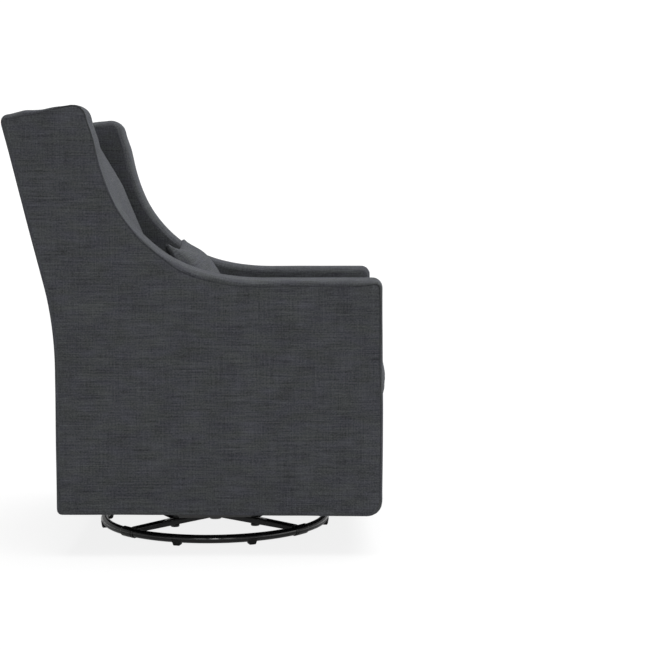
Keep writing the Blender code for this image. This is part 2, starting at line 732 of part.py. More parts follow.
def build_springs():
    """Sinuous springs from the front rail to the rear rail."""
    start = FRONT_RAIL_Y + SPRING_END_INSET
    length = REAR_RAIL_Y + RAIL_THICKNESS - SPRING_END_INSET - start
    waves = round(length / SPRING_PITCH)
    per_wave = 6
    z = RAIL_TOP_Z + SPRING_CLEARANCE + SPRING_WIRE / 2
    spacing = 2 * INNER_X / (SPRING_COUNT + 0.4)
    for n in range(SPRING_COUNT):
        x = (n - (SPRING_COUNT - 1) / 2) * spacing
        points = []
        for i in range(waves * per_wave + 1):
            swing = math.copysign(SPRING_SWING, x) * math.sin(2 * math.pi * i / per_wave)
            points.append((x + swing, start + length * i / (waves * per_wave), z))
        tube(f"seat_spring_{n + 1}", points, SPRING_WIRE, ZINC_STEEL, 1)


def build_dust_cover():
    """Thin cloth under the seat, open in the middle where the mechanism passes."""
    thickness = DUST_COVER_THICKNESS
    bottom = DUST_COVER_Z
    inner = INNER_X - GAP
    rear = BODY_REAR_Y - OUTSIDE_BACK_THICKNESS - GAP
    cover = box("dust_cover", (-inner, FRONT_RAIL_Y, bottom), (inner, rear, bottom + thickness), LINING)
    half_y = HANGER_HALF_Y + OPENING_SPARE_Y
    low = (-OPENING_HALF_X, AXIS_Y - half_y, bottom - thickness)
    high = (OPENING_HALF_X, AXIS_Y + half_y, bottom + 2 * thickness)
    boolean(cover, as_cutter(box("dust_cover_opening", low, high, LINING)))


# ---------------------------------------------------------------- upholstery
def build_casings():
    outline = casing_outline()
    for name, side in (("left", 1), ("right", -1)):
        side_plate(f"side_casing_{name}", [outline], INNER_X, ARM_THICKNESS, side, LINEN, CASING_EDGE_RADIUS)


def build_back():
    """The flat outside of the back, and the thick pad in front of it."""
    width = 2 * (INNER_X - GAP)
    heights = rear_heights(BODY_BOTTOM_Z + LOWER_EDGE_RISE, OUTSIDE_BACK_TOP_Z)
    thickness = OUTSIDE_BACK_THICKNESS
    outer = [(rear_y(z), z) for z in heights]
    inner = [(rear_y(z) - thickness, z) for z in reversed(heights)]
    side_plate("outside_back", [outer + inner], -width / 2, width, 1, LINEN)

    # the face that the sitter leans on, from the deck up to the rolled top
    bottom = DECK_TOP_Z + GAP
    corners = [(LEANING_FOOT_Y, bottom, 0)]
    corners += [(y, z, 0) for y, z in LEANING_FACE]
    corners += [
        (PAD_TOP_Y, PAD_TOP_Z, PAD_FRONT_RADIUS),
        (rear_y(PAD_TOP_Z) - thickness - GAP, PAD_TOP_Z, PAD_REAR_RADIUS),
    ]
    heights = rear_heights(bottom, OUTSIDE_BACK_TOP_Z)
    corners += [(rear_y(z) - thickness - GAP, z, 0) for z in reversed(heights)]
    side_plate("inside_back", [rounded(corners)], -width / 2, width, 1, LINEN)


def build_front_cover():
    inner = INNER_X - GAP
    low = (-inner, FRONT_COVER_Y, BODY_BOTTOM_Z)
    high = (inner, FRONT_COVER_Y + FRONT_COVER_THICKNESS, DECK_TOP_Z)
    box("front_rail_cover", low, high, LINEN)


def build_deck():
    inner = INNER_X - GAP
    rear = BODY_REAR_Y - OUTSIDE_BACK_THICKNESS - GAP
    box("seat_deck", (-inner, FRONT_RAIL_Y, DECK_BOTTOM_Z), (inner, rear, DECK_TOP_Z), LINEN)


def build_seat_cushion():
    side = INNER_X - CUSHION_SIDE_SPARE
    low = (-side, CUSHION_FRONT_Y, DECK_TOP_Z + GAP)
    high = (side, CUSHION_REAR_Y, CUSHION_TOP_Z)
    box("seat_cushion", low, high, LINEN, CUSHION_EDGE_RADIUS, 3)


def build_lumbar_pillow():
    """A leaning pillow: a block whose thickness thins out towards its rim."""
    width, thickness, height = PILLOW_SIZE
    mesh = bpy.data.meshes.new("lumbar_pillow")
    shape = bmesh.new()
    bmesh.ops.create_cube(shape, size=1.0)
    bmesh.ops.subdivide_edges(shape, edges=shape.edges[:], cuts=5, use_grid_fill=True)
    for corner in shape.verts:
        x, y, z = corner.co
        dome = math.sqrt((1 - (2 * x) ** 2) * (1 - (2 * z) ** 2))
        swell = PILLOW_RIM + (thickness - PILLOW_RIM) * dome
        corner.co = (x * width, y * swell, z * height)
    shape.to_mesh(mesh)
    shape.free()
    place("lumbar_pillow", mesh, LINEN, PILLOW_CENTRE, (-PILLOW_LEAN, 0.0, 0.0))


# ---------------------------------------------------------------- assembly
def build():
    build_ring_tubes()
    build_base_arms()
    build_feet()
    build_hub()
    build_pan()
    build_arm_bolts()
    race_top = build_bearing()
    plate_top = build_carrier(race_top)
    build_king_bolt(plate_top)
    build_linkage()
    build_hangers()
    build_rails()
    build_springs()
    build_dust_cover()
    build_casings()
    build_back()
    build_front_cover()
    build_deck()
    build_seat_cushion()
    build_lumbar_pillow()


build()
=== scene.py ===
"""The looks of the swivel glider armchair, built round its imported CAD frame.

Metres, +Z up, the sitter faces -Y and +X is the sitter's left.
"""

import json
import math

import bmesh
import bpy
import numpy as np
from mathutils import Matrix, Vector, geometry, noise


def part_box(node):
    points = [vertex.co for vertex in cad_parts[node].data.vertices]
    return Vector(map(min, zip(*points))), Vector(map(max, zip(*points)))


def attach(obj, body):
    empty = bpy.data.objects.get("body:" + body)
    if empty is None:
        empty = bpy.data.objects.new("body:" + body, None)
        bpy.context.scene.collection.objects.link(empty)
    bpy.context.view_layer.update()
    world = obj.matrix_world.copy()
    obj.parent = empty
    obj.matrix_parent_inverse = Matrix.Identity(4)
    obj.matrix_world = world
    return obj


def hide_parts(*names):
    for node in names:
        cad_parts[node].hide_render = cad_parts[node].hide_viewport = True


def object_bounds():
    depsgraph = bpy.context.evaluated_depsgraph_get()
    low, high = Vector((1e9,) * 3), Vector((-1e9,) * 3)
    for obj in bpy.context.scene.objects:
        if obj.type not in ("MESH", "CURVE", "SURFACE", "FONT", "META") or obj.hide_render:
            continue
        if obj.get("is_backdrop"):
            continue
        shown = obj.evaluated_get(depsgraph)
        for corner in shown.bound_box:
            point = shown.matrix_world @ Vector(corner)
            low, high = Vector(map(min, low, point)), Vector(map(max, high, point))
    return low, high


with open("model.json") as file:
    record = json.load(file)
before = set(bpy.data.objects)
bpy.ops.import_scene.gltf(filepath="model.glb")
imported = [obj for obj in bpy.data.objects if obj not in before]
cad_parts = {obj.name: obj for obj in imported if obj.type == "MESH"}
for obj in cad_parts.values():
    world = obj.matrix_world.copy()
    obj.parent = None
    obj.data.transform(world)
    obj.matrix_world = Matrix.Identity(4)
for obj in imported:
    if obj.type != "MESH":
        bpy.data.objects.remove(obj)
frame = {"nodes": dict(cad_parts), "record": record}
CAD_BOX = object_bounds()

# ---- dimensions shared with the CAD
CASING_LOW, CASING_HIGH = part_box("side_casing_left")
BACK_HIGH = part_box("inside_back")[1]
DECK_LOW, DECK_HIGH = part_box("seat_deck")
COVER_LOW, COVER_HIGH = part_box("front_rail_cover")
DUST_LOW, DUST_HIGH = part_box("dust_cover")
CUSHION_LOW, CUSHION_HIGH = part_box("seat_cushion")

INNER_X = CASING_LOW.x
HALF_WIDTH = CASING_HIGH.x
ARM_THICKNESS = HALF_WIDTH - INNER_X
BODY_FRONT_Y = CASING_LOW.y
BODY_BOTTOM_Z = CASING_LOW.z
BODY_REAR_Y = 0.3287  # with the padding
LOWER_EDGE_RISE = 0.004  # the underside is this much higher at the rear
ARM_TOP_Z = 0.638
BACK_BEND_Z = 0.430
BACK_BEND_RADIUS = 0.820
BACK_RAKE = math.radians(13.9)
WING_TOP_REAR_Z = 1.0095
WING_TOP_SLOPE = 0.145
CREST = (
    ((-0.150, 0.638), 0.0),
    ((0.072, 0.690), 32.0),
    ((0.186, 0.811), 62.0),
    ((0.2402, 0.985), 77.0),
)
LOWER_FRONT_RADIUS = 0.037
LOWER_REAR_RADIUS = 0.012
ARM_FRONT_RADIUS = 0.021
WING_REAR_RADIUS = 0.022
WING_FRONT_RADIUS = 0.034

AXIS_Y = -0.012
BASE_TURN = math.radians(2.7)  # how far the base stands turned against the seat
RING_RADIUS = 0.279
RING_TUBE = 0.019
RING_Z = 0.0165
SOCKET_TUBE = 0.0234
SOCKET_HALF_ANGLE = math.radians(5.5)
ARM_SIZE = (0.022, 0.018)
ARM_BOTTOM_Z = 0.0145
HUB_RADIUS = 0.0295
ARM_ANGLE = math.radians(43.4)  # between an arm and the nearer of front and rear
SIDE_FOOT_OFFSET = math.radians(18.4)
END_FOOT_OFFSET = math.radians(11.0)
BOLT_CIRCLE = 0.137
NUT_RADIUS = 0.011
NUT_BOTTOM_Z = 0.0085
ARM_DROOP = 0.0055  # an arm's top is this much lower at the ring than at the hub
SLEEVE_END = 0.059  # radians from the arm to the sleeve's end over the side tube
FOOT_HALF_WIDTH = 0.013
FOOT_HALF_DEPTH = 0.011

PILLOW_SIZE = (0.500, 0.130, 0.250)
PILLOW_CENTRE = Vector((0.0, 0.030, 0.603))
PILLOW_LEAN = math.radians(27.0)
AXIS = Vector((0.0, AXIS_Y, 0.0))


# ---- materials
class Shade:
    """A material or world being wired: each method adds one node and returns its output."""

    def __init__(self, name, kind=bpy.data.materials):
        self.made = kind.new(name)
        self.made.use_nodes = True
        self.tree = self.made.node_tree
        self.shader = self.tree.nodes.get("Principled BSDF")

    def put(self, socket, value):
        if isinstance(value, bpy.types.NodeSocket):
            self.tree.links.new(value, socket)
        elif isinstance(value, tuple) and socket.type == "RGBA":
            socket.default_value = (*value, 1.0)
        else:
            socket.default_value = value

    def node(self, kind, inputs=(), output=0, **settings):
        made = self.tree.nodes.new(kind)
        for name, value in settings.items():
            setattr(made, name, value)
        for key, value in dict(inputs).items():
            self.put(made.inputs[key], value)
        return made.outputs[output]

    def uv(self):
        return self.node("ShaderNodeUVMap", uv_map="UVMap")

    def position(self):
        return self.node("ShaderNodeTexCoord", output="Object")

    def scaled(self, vector, scale, shift=(0.0, 0.0, 0.0)):
        return self.node("ShaderNodeMapping", {"Vector": vector, "Scale": scale, "Location": shift})

    def noise(self, vector, scale=1.0, detail=2.0):
        inputs = {"Vector": vector, "Scale": scale, "Detail": detail, "Roughness": 0.5}
        return self.node("ShaderNodeTexNoise", inputs)

    def math(self, operation, a, b=0.0, c=0.0):
        inputs = {0: a, 1: b, 2: c}
        return self.node("ShaderNodeMath", inputs, operation=operation)

    def spread(self, value, low, high, to_low=0.0, to_high=1.0):
        """value mapped from low..high to to_low..to_high, kept inside them."""
        inputs = {0: value, 1: low, 2: high, 3: to_low, 4: to_high}
        return self.node("ShaderNodeMapRange", inputs)

    def mix(self, factor, a, b, blend="MIX"):
        made = self.tree.nodes.new("ShaderNodeMix")
        made.data_type = "RGBA"
        made.blend_type = blend
        self.put(made.inputs[0], factor)
        self.put(made.inputs[6], a)
        self.put(made.inputs[7], b)
        return made.outputs[2]

    def bump(self, height, distance, strength):
        inputs = {"Height": height, "Distance": distance, "Strength": strength}
        return self.node("ShaderNodeBump", inputs)

    def finish(self, **inputs):
        for name, value in inputs.items():
            self.put(self.shader.inputs[name.replace("_", " ")], value)
        return self.made


WEAVE = (
    # cells in a metre along the weft and across it, shift, detail, weight
    ((420.0, 6.0), (0.0, 0.0), 1.0, 0.55),  # warp threads
    ((300.0, 26.0), (3.1, 1.7), 2.0, 0.45),  # warp slubs
    ((9.0, 480.0), (7.3, 2.9), 1.0, 1.05),  # weft threads
    ((24.0, 250.0), (1.3, 9.1), 2.0, 0.95),  # weft slubs
    ((7.0, 90.0), (5.3, 4.1), 2.0, 0.35),  # weft bands
    ((250.0, 270.0), (4.4, 6.2), 1.0, 1.30),  # flecks
    ((15.0, 17.0), (2.2, 8.8), 2.0, 0.50),  # clouds
)
LINEN_DARK = (0.028, 0.029, 0.032)
LINEN_LIGHT = (0.094, 0.097, 0.105)
THREAD_PITCH = 0.0013


def linen(name, turned=False):
    """Slubby plain-weave linen; UV is in metres, with U along the weft."""
    s = Shade(name)
    uv = s.uv()
    if turned:
        uv = s.node("ShaderNodeMapping", {"Vector": uv, "Rotation": (0, 0, math.pi / 2)})
    tone = 0.0
    for scale, shift, detail, weight in WEAVE:
        threads = s.noise(s.scaled(uv, (*scale, 1.0), (*shift, 0.0)), detail=detail)
        tone = s.math("MULTIPLY_ADD", threads, weight, tone)
    tone = s.spread(tone, 2.00, 3.16)
    colour = s.mix(tone, LINEN_DARK, LINEN_LIGHT)
    tint = s.noise(s.scaled(uv, (16.0, 40.0, 1.0), (8.7, 0.4, 0.0)))
    tint = s.spread(tint, 0.35, 0.65)
    colour = s.mix(1.0, colour, s.mix(tint, (1.0, 1.03, 0.97), (0.99, 0.99, 1.05)), "MULTIPLY")
    # painted highlight: a vertex attribute lightens the rolled padded edges of the casings, where light falls
    # on them
    painted_highlight = s.node("ShaderNodeAttribute", output=2, attribute_name="painted_highlight")
    colour = s.mix(s.math("MULTIPLY", painted_highlight, 0.10), colour, LINEN_LIGHT)
    # painted shade: a vertex attribute darkens the seams of the casings and the borders of the panels, where
    # shade falls
    painted_seam_shade = s.node("ShaderNodeAttribute", output=2, attribute_name="painted_seam_shade")
    colour = s.mix(s.math("MULTIPLY", painted_seam_shade, 0.10), colour, (0.006, 0.006, 0.007))

    thread = 2 * math.pi / THREAD_PITCH
    x = s.node("ShaderNodeSeparateXYZ", {"Vector": uv})
    y = x.node.outputs[1]
    across = s.math("SINE", s.math("MULTIPLY", x, thread))
    along = s.math("SINE", s.math("MULTIPLY", y, thread))
    weave = s.math("MULTIPLY", across, along)
    height = s.math("MULTIPLY_ADD", weave, 0.25, tone)
    normal = s.bump(height, 0.0006, 0.55)
    return s.finish(
        Base_Color=colour,
        Roughness=0.92,
        Specular_IOR_Level=0.25,
        Sheen_Weight=0.10,
        Sheen_Roughness=0.45,
        Sheen_Tint=(0.80, 0.84, 0.95),
        Normal=normal,
    )


def seam_thread_and_shade(name):
    """Dark sewing thread sunk in a seam, with a short stitch every few millimetres of U; its dark colour is
    partly painted shade of the seam's recess.
    """
    s = Shade(name)
    uv = s.uv()
    x = s.node("ShaderNodeSeparateXYZ", {"Vector": uv})
    stitch = s.math("PINGPONG", x, 0.0022)
    stitch = s.spread(stitch, 0.0003, 0.0008)
    grain = s.noise(s.scaled(uv, (1500.0, 1500.0, 1.0)))
    colour = s.mix(stitch, (0.014, 0.014, 0.016), (0.036, 0.037, 0.041))
    colour = s.mix(s.math("MULTIPLY", grain, 0.4), colour, (0.010, 0.010, 0.012))
    normal = s.bump(stitch, 0.0004, 0.8)
    return s.finish(Base_Color=colour, Roughness=0.8, Specular_IOR_Level=0.2, Normal=normal)


def painted_steel(name):
    """Gloss black powder coat with a faint orange peel and some dust in it."""
    s = Shade(name)
    place = s.position()
    peel = s.noise(place, 420.0, 2.0)
    patches = s.noise(place, 26.0, 3.0)
    specks = s.spread(s.noise(place, 900.0, 1.0), 0.68, 0.74)
    colour = s.mix(s.math("MULTIPLY", specks, 0.12), (0.0065, 0.0065, 0.0070), (0.08, 0.08, 0.08))
    roughness = s.spread(patches, 0.35, 0.70, 0.13, 0.22)
    normal = s.bump(peel, 0.00012, 0.15)
    return s.finish(
        Base_Color=colour,
        Roughness=roughness,
        Coat_Weight=1.00,
        Coat_Roughness=0.10,
        Normal=normal,
    )


def zinc(name):
    """Bright zinc plating with brushed streaks and dull patches."""
    s = Shade(name)
    place = s.position()
    streaks = s.noise(s.scaled(place, (40.0, 1400.0, 1400.0)))
    patches = s.noise(place, 70.0, 3.0)
    colour = s.mix(patches, (0.42, 0.43, 0.44), (0.62, 0.62, 0.60))
    roughness = s.spread(s.math("ADD", streaks, patches), 0.6, 1.4, 0.22, 0.50)
    normal = s.bump(streaks, 0.0001, 0.3)
    return s.finish(Base_Color=colour, Metallic=1.0, Roughness=roughness, Normal=normal)


def timber(name):
    """Planed softwood, with its grain along X or Y and darker growth rings."""
    s = Shade(name)
    place = s.position()
    wander = s.noise(s.scaled(place, (3.0, 3.0, 14.0)))
    height = s.node("ShaderNodeSeparateXYZ", {"Vector": place}, output=2)
    rings = s.math("SINE", s.math("MULTIPLY_ADD", wander, 26.0, s.math("MULTIPLY", height, 420.0)))
    fibres = s.noise(s.scaled(place, (18.0, 18.0, 1300.0)))
    colour = s.mix(s.spread(rings, -1.0, 1.0), (0.60, 0.42, 0.24), (0.36, 0.21, 0.10))
    colour = s.mix(s.math("MULTIPLY", fibres, 0.5), colour, (0.66, 0.49, 0.30))
    normal = s.bump(fibres, 0.0002, 0.5)
    return s.finish(Base_Color=colour, Roughness=0.62, Normal=normal)


def nylon(name):
    s = Shade(name)
    place = s.position()
    grain = s.noise(place, 1500.0, 1.0)
    scuffs = s.spread(s.noise(place, 160.0, 3.0), 0.55, 0.75)
    colour = s.mix(s.math("MULTIPLY", scuffs, 0.5), (0.009, 0.009, 0.009), (0.035, 0.035, 0.035))
    roughness = s.spread(scuffs, 0.0, 1.0, 0.38, 0.60)
    return s.finish(Base_Color=colour, Roughness=roughness, Normal=s.bump(grain, 0.0001, 0.4))


def lining(name):
    """Thin black non-woven cloth, spot-bonded in a fine grid."""
    s = Shade(name)
    uv = s.uv()
    cell = s.node("ShaderNodeTexVoronoi", {"Vector": uv, "Scale": 420.0, "Randomness": 0.35})
    dots = s.spread(cell, 0.15, 0.45)
    fibres = s.noise(s.scaled(uv, (900.0, 500.0, 1.0)), 1.0, 3.0)
    colour = s.mix(dots, (0.006, 0.006, 0.006), (0.020, 0.020, 0.021))
    colour = s.mix(s.math("MULTIPLY", fibres, 0.4), colour, (0.030, 0.030, 0.032))
    normal = s.bump(s.math("ADD", dots, fibres), 0.0002, 0.6)
    return s.finish(Base_Color=colour, Roughness=0.95, Specular_IOR_Level=0.2, Normal=normal)


LINEN = linen("linen_weave")
LINEN_TURNED = linen("linen_weave_turned", True)
# the seam thread is darker than the cloth: partly thread, partly painted shade in the seams
SEAM_THREAD_AND_SHADE = seam_thread_and_shade("seam_thread_and_shade")
PAINT = painted_steel("gloss_black_paint")
ZINC = zinc("zinc_plate")
TIMBER = timber("planed_timber")
NYLON = nylon("black_nylon")
LINING = lining("bonded_lining")


# ---- mesh helpers
def new_object(name, data):
    made = bpy.data.objects.new(name, data)
    bpy.context.scene.collection.objects.link(made)
    return made


def register(name, mesh, material, body, stands_for=()):
    """An object of the mesh that rides on a body, with the material given; the CAD parts it stands for are
    hidden.
    """
    mesh.materials.append(material)
    made = new_object(name, mesh)
    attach(made, body)
    if stands_for:
        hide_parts(*stands_for)
    return made


def piece(name, verts, faces, material, body, uvs=None, stands_for=(), floats=()):
    """A smooth mesh piece; uvs has one pair for each face corner, floats one value for each vertex."""
    mesh = bpy.data.meshes.new(name)
    mesh.from_pydata([tuple(v) for v in verts], [], faces)
    if uvs is not None:
        layer = mesh.uv_layers.new(name="UVMap")
        layer.data.foreach_set("uv", np.asarray(uvs, np.float32).ravel())
    for label, values in dict(floats).items():
        attribute = mesh.attributes.new(label, "FLOAT", "POINT")
        attribute.data.foreach_set("value", np.asarray(values, np.float32))
    mesh.validate()
    mesh.shade_smooth()
    return register(name, mesh, material, body, stands_for)


def circle(centre, radius, across, up, sides):
    """Evenly spaced points round centre, in the plane of across and up."""
    angles = [2 * math.pi * k / sides for k in range(sides)]
    return [centre + radius * (math.cos(a) * across + math.sin(a) * up) for a in angles]


def ring_quads(rings, sides):
    """Faces between successive rings of points."""
    quads = []
    for i in range(rings - 1):
        for k in range(sides):
            m = (k + 1) % sides
            quads.append((i * sides + k, i * sides + m, (i + 1) * sides + m, (i + 1) * sides + k))
    return quads


def tidy_normals(made, weld=0.0):
    """Make the faces look outwards, keeping the UVs of their corners; weld joins points that close."""
    shape = bmesh.new()
    shape.from_mesh(made.data)
    if weld:
        bmesh.ops.remove_doubles(shape, verts=shape.verts, dist=weld)
    bmesh.ops.recalc_face_normals(shape, faces=shape.faces)
    shape.to_mesh(made.data)
    shape.free()


def box_uv(mesh):
    """UVs in metres, projected along the axis that each face looks along most."""
    layer = mesh.uv_layers.get("UVMap") or mesh.uv_layers.new(name="UVMap")
    for polygon in mesh.polygons:
        normal = [abs(c) for c in polygon.normal]
        axis = normal.index(max(normal))
        u, v = ((1, 2), (0, 2), (0, 1))[axis]
        for loop in polygon.loop_indices:
            point = mesh.vertices[mesh.loops[loop].vertex_index].co
            layer.data[loop].uv = (point[u], point[v])


SEAM_SIDES = 6


def sew(name, points, radius):
    """A closed seam: a round thread along points, with UVs in metres along and round it; the dark thread also
    stands in for the shade in the seam.
    """
    points = [Vector(p) for p in points]
    count = len(points)
    verts = []
    runs = [0.0]
    for a, b in zip(points, points[1:] + points[:1]):
        runs.append(runs[-1] + (b - a).length)
    up = Vector((0.1, 0.2, 1.0)).normalized()
    for i, point in enumerate(points):
        along = (points[(i + 1) % count] - points[i - 1]).normalized()
        across = along.cross(up)
        if across.length < 0.2:
            across = along.cross(Vector((1.0, 0.0, 0.0)))
        across.normalize()
        verts += circle(point, radius, across, across.cross(along), SEAM_SIDES)
    faces = []
    uvs = []
    for i in range(count):
        here, ahead = i * SEAM_SIDES, (i + 1) % count * SEAM_SIDES
        for k in range(SEAM_SIDES):
            m = (k + 1) % SEAM_SIDES
            faces.append((here + k, here + m, ahead + m, ahead + k))
            low, high = (radius * 2 * math.pi * n / SEAM_SIDES for n in (k, k + 1))
            uvs += [(runs[i], low), (runs[i], high), (runs[i + 1], high), (runs[i + 1], low)]
    piece(name, verts, faces, SEAM_THREAD_AND_SHADE, "seat", uvs)


# ---- outlines in the YZ plane
def rear_y(z):
    """The outside of the back at height z: upright, then an arc, then a straight rake."""
    rise = z - BACK_BEND_Z
    if rise <= 0:
        return BODY_REAR_Y
    bend_rise = BACK_BEND_RADIUS * math.sin(BACK_RAKE)
    if rise <= bend_rise:
        return BODY_REAR_Y + BACK_BEND_RADIUS * (1 - math.cos(math.asin(rise / BACK_BEND_RADIUS)))
    bend_y = BACK_BEND_RADIUS * (1 - math.cos(BACK_RAKE))
    return BODY_REAR_Y + bend_y + (rise - bend_rise) * math.tan(BACK_RAKE)


def rounded(corners, steps=10):
    """A closed outline from (y, z, radius) corners; a corner with no radius stays a point."""
    points = []
    for i, (y, z, radius) in enumerate(corners):
        here = Vector((y, z))
        if not radius:
            points.append((y, z))
            continue
        before = (Vector(corners[i - 1][:2]) - here).normalized()
        after = (Vector(corners[(i + 1) % len(corners)][:2]) - here).normalized()
        half = before.angle(after) / 2
        centre = here + (before + after).normalized() * radius / math.sin(half)
        start = here + before * radius / math.tan(half) - centre
        end = here + after * radius / math.tan(half) - centre
        turn = start.angle_signed(end)
        for k in range(steps + 1):
            spoke = start.copy()
            spoke.rotate(Matrix.Rotation(-turn * k / steps, 2))
            points.append(tuple(centre + spoke))
    return points


def direction(degrees):
    return Vector((math.cos(math.radians(degrees)), math.sin(math.radians(degrees))))


def crest_points(steps=24):
    points = [CREST[0][0]]
    for (start, start_turn), (end, end_turn) in zip(CREST, CREST[1:]):
        start = Vector(start)
        end = Vector(end)
        reach = (end - start).length / 3
        first = start + reach * direction(start_turn)
        second = end - reach * direction(end_turn)
        for i in range(1, steps + 1):
            t = i / steps
            u = 1 - t
            points.append(tuple(u**3 * start + 3 * u * u * t * first + 3 * u * t * t * second + t**3 * end))
    return points


def casing_outline():
    """A side casing's outline, from the lower front corner to the rear, up, and forward over the crest."""
    top_rear = (rear_y(WING_TOP_REAR_Z), WING_TOP_REAR_Z)
    wing_foot, heading = CREST[-1]
    along = direction(heading)
    rise = top_rear[1] + WING_TOP_SLOPE * (top_rear[0] - wing_foot[0]) - wing_foot[1]
    reach = rise / (along.y + WING_TOP_SLOPE * along.x)
    top_front = Vector(wing_foot) + along * reach
    corners = [(BODY_FRONT_Y, BODY_BOTTOM_Z, LOWER_FRONT_RADIUS)]
    corners.append((BODY_REAR_Y, BODY_BOTTOM_Z + LOWER_EDGE_RISE, LOWER_REAR_RADIUS))
    bend_rise = BACK_BEND_RADIUS * math.sin(BACK_RAKE)
    for i in range(13):
        z = BACK_BEND_Z + bend_rise * i / 12
        corners.append((rear_y(z), z, 0))
    corners += [(*top_rear, WING_REAR_RADIUS), (*top_front, WING_FRONT_RADIUS)]
    corners += [(y, z, 0) for y, z in reversed(crest_points()[1:])]
    corners += [(*CREST[0][0], 0), (BODY_FRONT_Y, ARM_TOP_Z, ARM_FRONT_RADIUS)]
    return rounded(corners)


def smoothed(values, times):
    """Values round a closed ring, each averaged with its neighbours."""
    for _ in range(times):
        values = (np.roll(values, -1, axis=0) + 2 * values + np.roll(values, 1, axis=0)) / 4
    return values


def evenly(points, spacing):
    """The closed outline with evenly spaced points, its inward normals and its running length."""
    ring = np.array([*points, points[0]])
    runs = np.concatenate([[0.0], np.cumsum(np.hypot(*np.diff(ring, axis=0).T))])
    count = round(runs[-1] / spacing)
    run = np.linspace(0.0, runs[-1], count, endpoint=False)
    even = np.stack([np.interp(run, runs, ring[:, k]) for k in (0, 1)], axis=1)
    tangent = smoothed(np.roll(even, -1, axis=0) - np.roll(even, 1, axis=0), 2)
    tangent /= np.linalg.norm(tangent, axis=1)[:, None]
    inward = np.stack([-tangent[:, 1], tangent[:, 0]], axis=1)
    area = np.sum(even[:, 0] * np.roll(even[:, 1], -1) - even[:, 1] * np.roll(even[:, 0], -1))
    if area < 0:
        inward = -inward
    return even, inward, run, runs[-1]


def distances(points, border):
    """How far each point is from the nearest one of the border."""
    return np.min(np.linalg.norm(points[:, None, :] - border[None, :, :], axis=2), axis=1)


def filled(border, spacing):
    """Triangles inside a closed border: the added points and the faces over border plus added points."""
    low, high = border.min(0), border.max(0)
    lines = [np.arange(low[k], high[k], spacing) for k in (0, 1)]
    grid = np.stack(np.meshgrid(*lines), axis=-1).reshape(-1, 2)
    after = np.roll(border, -1, axis=0)
    inside = np.zeros(len(grid), bool)
    for a, b in zip(border, after):
        crosses = (a[1] > grid[:, 1]) != (b[1] > grid[:, 1])
        if crosses.any():
            at = a[0] + (grid[:, 1] - a[1]) / (b[1] - a[1] + 1e-15) * (b[0] - a[0])
            inside ^= crosses & (grid[:, 0] < at)
    grid = grid[inside]
    grid = grid[distances(grid, border) > 0.6 * spacing]
    points = [Vector(p) for p in (*border, *grid)]
    edges = [(i, (i + 1) % len(border)) for i in range(len(border))]
    found = geometry.delaunay_2d_cdt(points, edges, [], 1, 1e-7)
    source = [origins[0] for origins in found[3]]
    return grid, [tuple(source[i] for i in face) for face in found[2]]


def wrapped(rows, run, length, uv):
    """Quads over successive rings of an outline; uv(row, k, r, along) gives the UV of one corner."""
    count = len(run)
    faces = []
    uvs = []
    for row in range(rows - 1):
        for i in range(count):
            j = (i + 1) % count
            quad = [(i, row), (j, row), (j, row + 1), (i, row + 1)]
            faces.append(tuple(r * count + k for k, r in quad))
            uvs += [uv(row, k, r, length if k < i else run[k]) for k, r in quad]
    return faces, uvs


def close_end(faces, uvs, border, first, base, spacing):
    """Close a ring of points that starts at first; the points inside it, from base on, are returned."""
    grid, triangles = filled(border, spacing)
    ids = [*range(first, first + len(border)), *range(base, base + len(grid))]
    points = [*border, *grid]
    for triangle in triangles:
        faces.append(tuple(ids[k] for k in triangle))
        uvs += [tuple(points[k]) for k in triangle]
    return grid


def within_corners(insets, inward, spacing):
    """Insets drawn in where the outline turns a corner, so that no inset line crosses itself."""
    turn = np.arccos(np.clip(np.sum(inward * np.roll(inward, -1, axis=0), axis=1), -1.0, 1.0)) / spacing
    sharpest = smoothed(np.max([np.roll(turn, k) for k in (-2, -1, 0, 1, 2)], axis=0), 3)
    share = np.maximum(insets, 0.0) * sharpest[:, None] / 0.92
    return insets / (1 + share**4) ** 0.25


# ---- side casings
SEAM_INSETS = (
    # y, z, inset of the outer seam from the crest
    (-0.418, 0.300, 0.0090),
    (-0.418, 0.560, 0.0090),
    (-0.330, 0.638, 0.0175),
    (-0.100, 0.640, 0.0185),
    (0.000, 0.660, 0.0180),
    (0.100, 0.722, 0.0100),
    (0.150, 0.780, 0.0070),
    (0.200, 0.860, 0.0060),
    (0.235, 0.965, 0.0036),
    (0.275, 1.030, 0.0045),
    (0.340, 1.025, 0.0085),
    (0.390, 1.015, 0.0170),
    (0.430, 1.010, 0.0140),
    (0.400, 0.800, 0.0080),
    (0.327, 0.400, 0.0080),
    (0.000, 0.099, 0.0080),
)
DOME = 0.0025


def seam_inset(y, z):
    weights = [1 / ((y - a) ** 2 + (z - b) ** 2 + 0.0008) ** 1.5 for a, b, _ in SEAM_INSETS]
    return sum(w * s[2] for w, s in zip(weights, SEAM_INSETS)) / sum(weights)


def share_of(value, full):
    """value as a share of full, kept between 0 and 1."""
    return min(max(value / full, 0.0), 1.0)


def is_crest(y, z):
    """1 where the padded front, arm or wing edge is, 0 on the flat rear and underside, smooth between."""
    return share_of(rear_y(z) - y, 0.05) * share_of(z - BODY_BOTTOM_Z, 0.05)


SEAM_DITCH = (
    # depth at the crest, distance from the seam
    (0.0000, 0.0044),
    (0.0001, 0.0026),
    (0.0004, 0.0012),
    (0.0009, 0.0002),
    (0.0007, -0.0010),
    (0.0003, -0.0020),
)


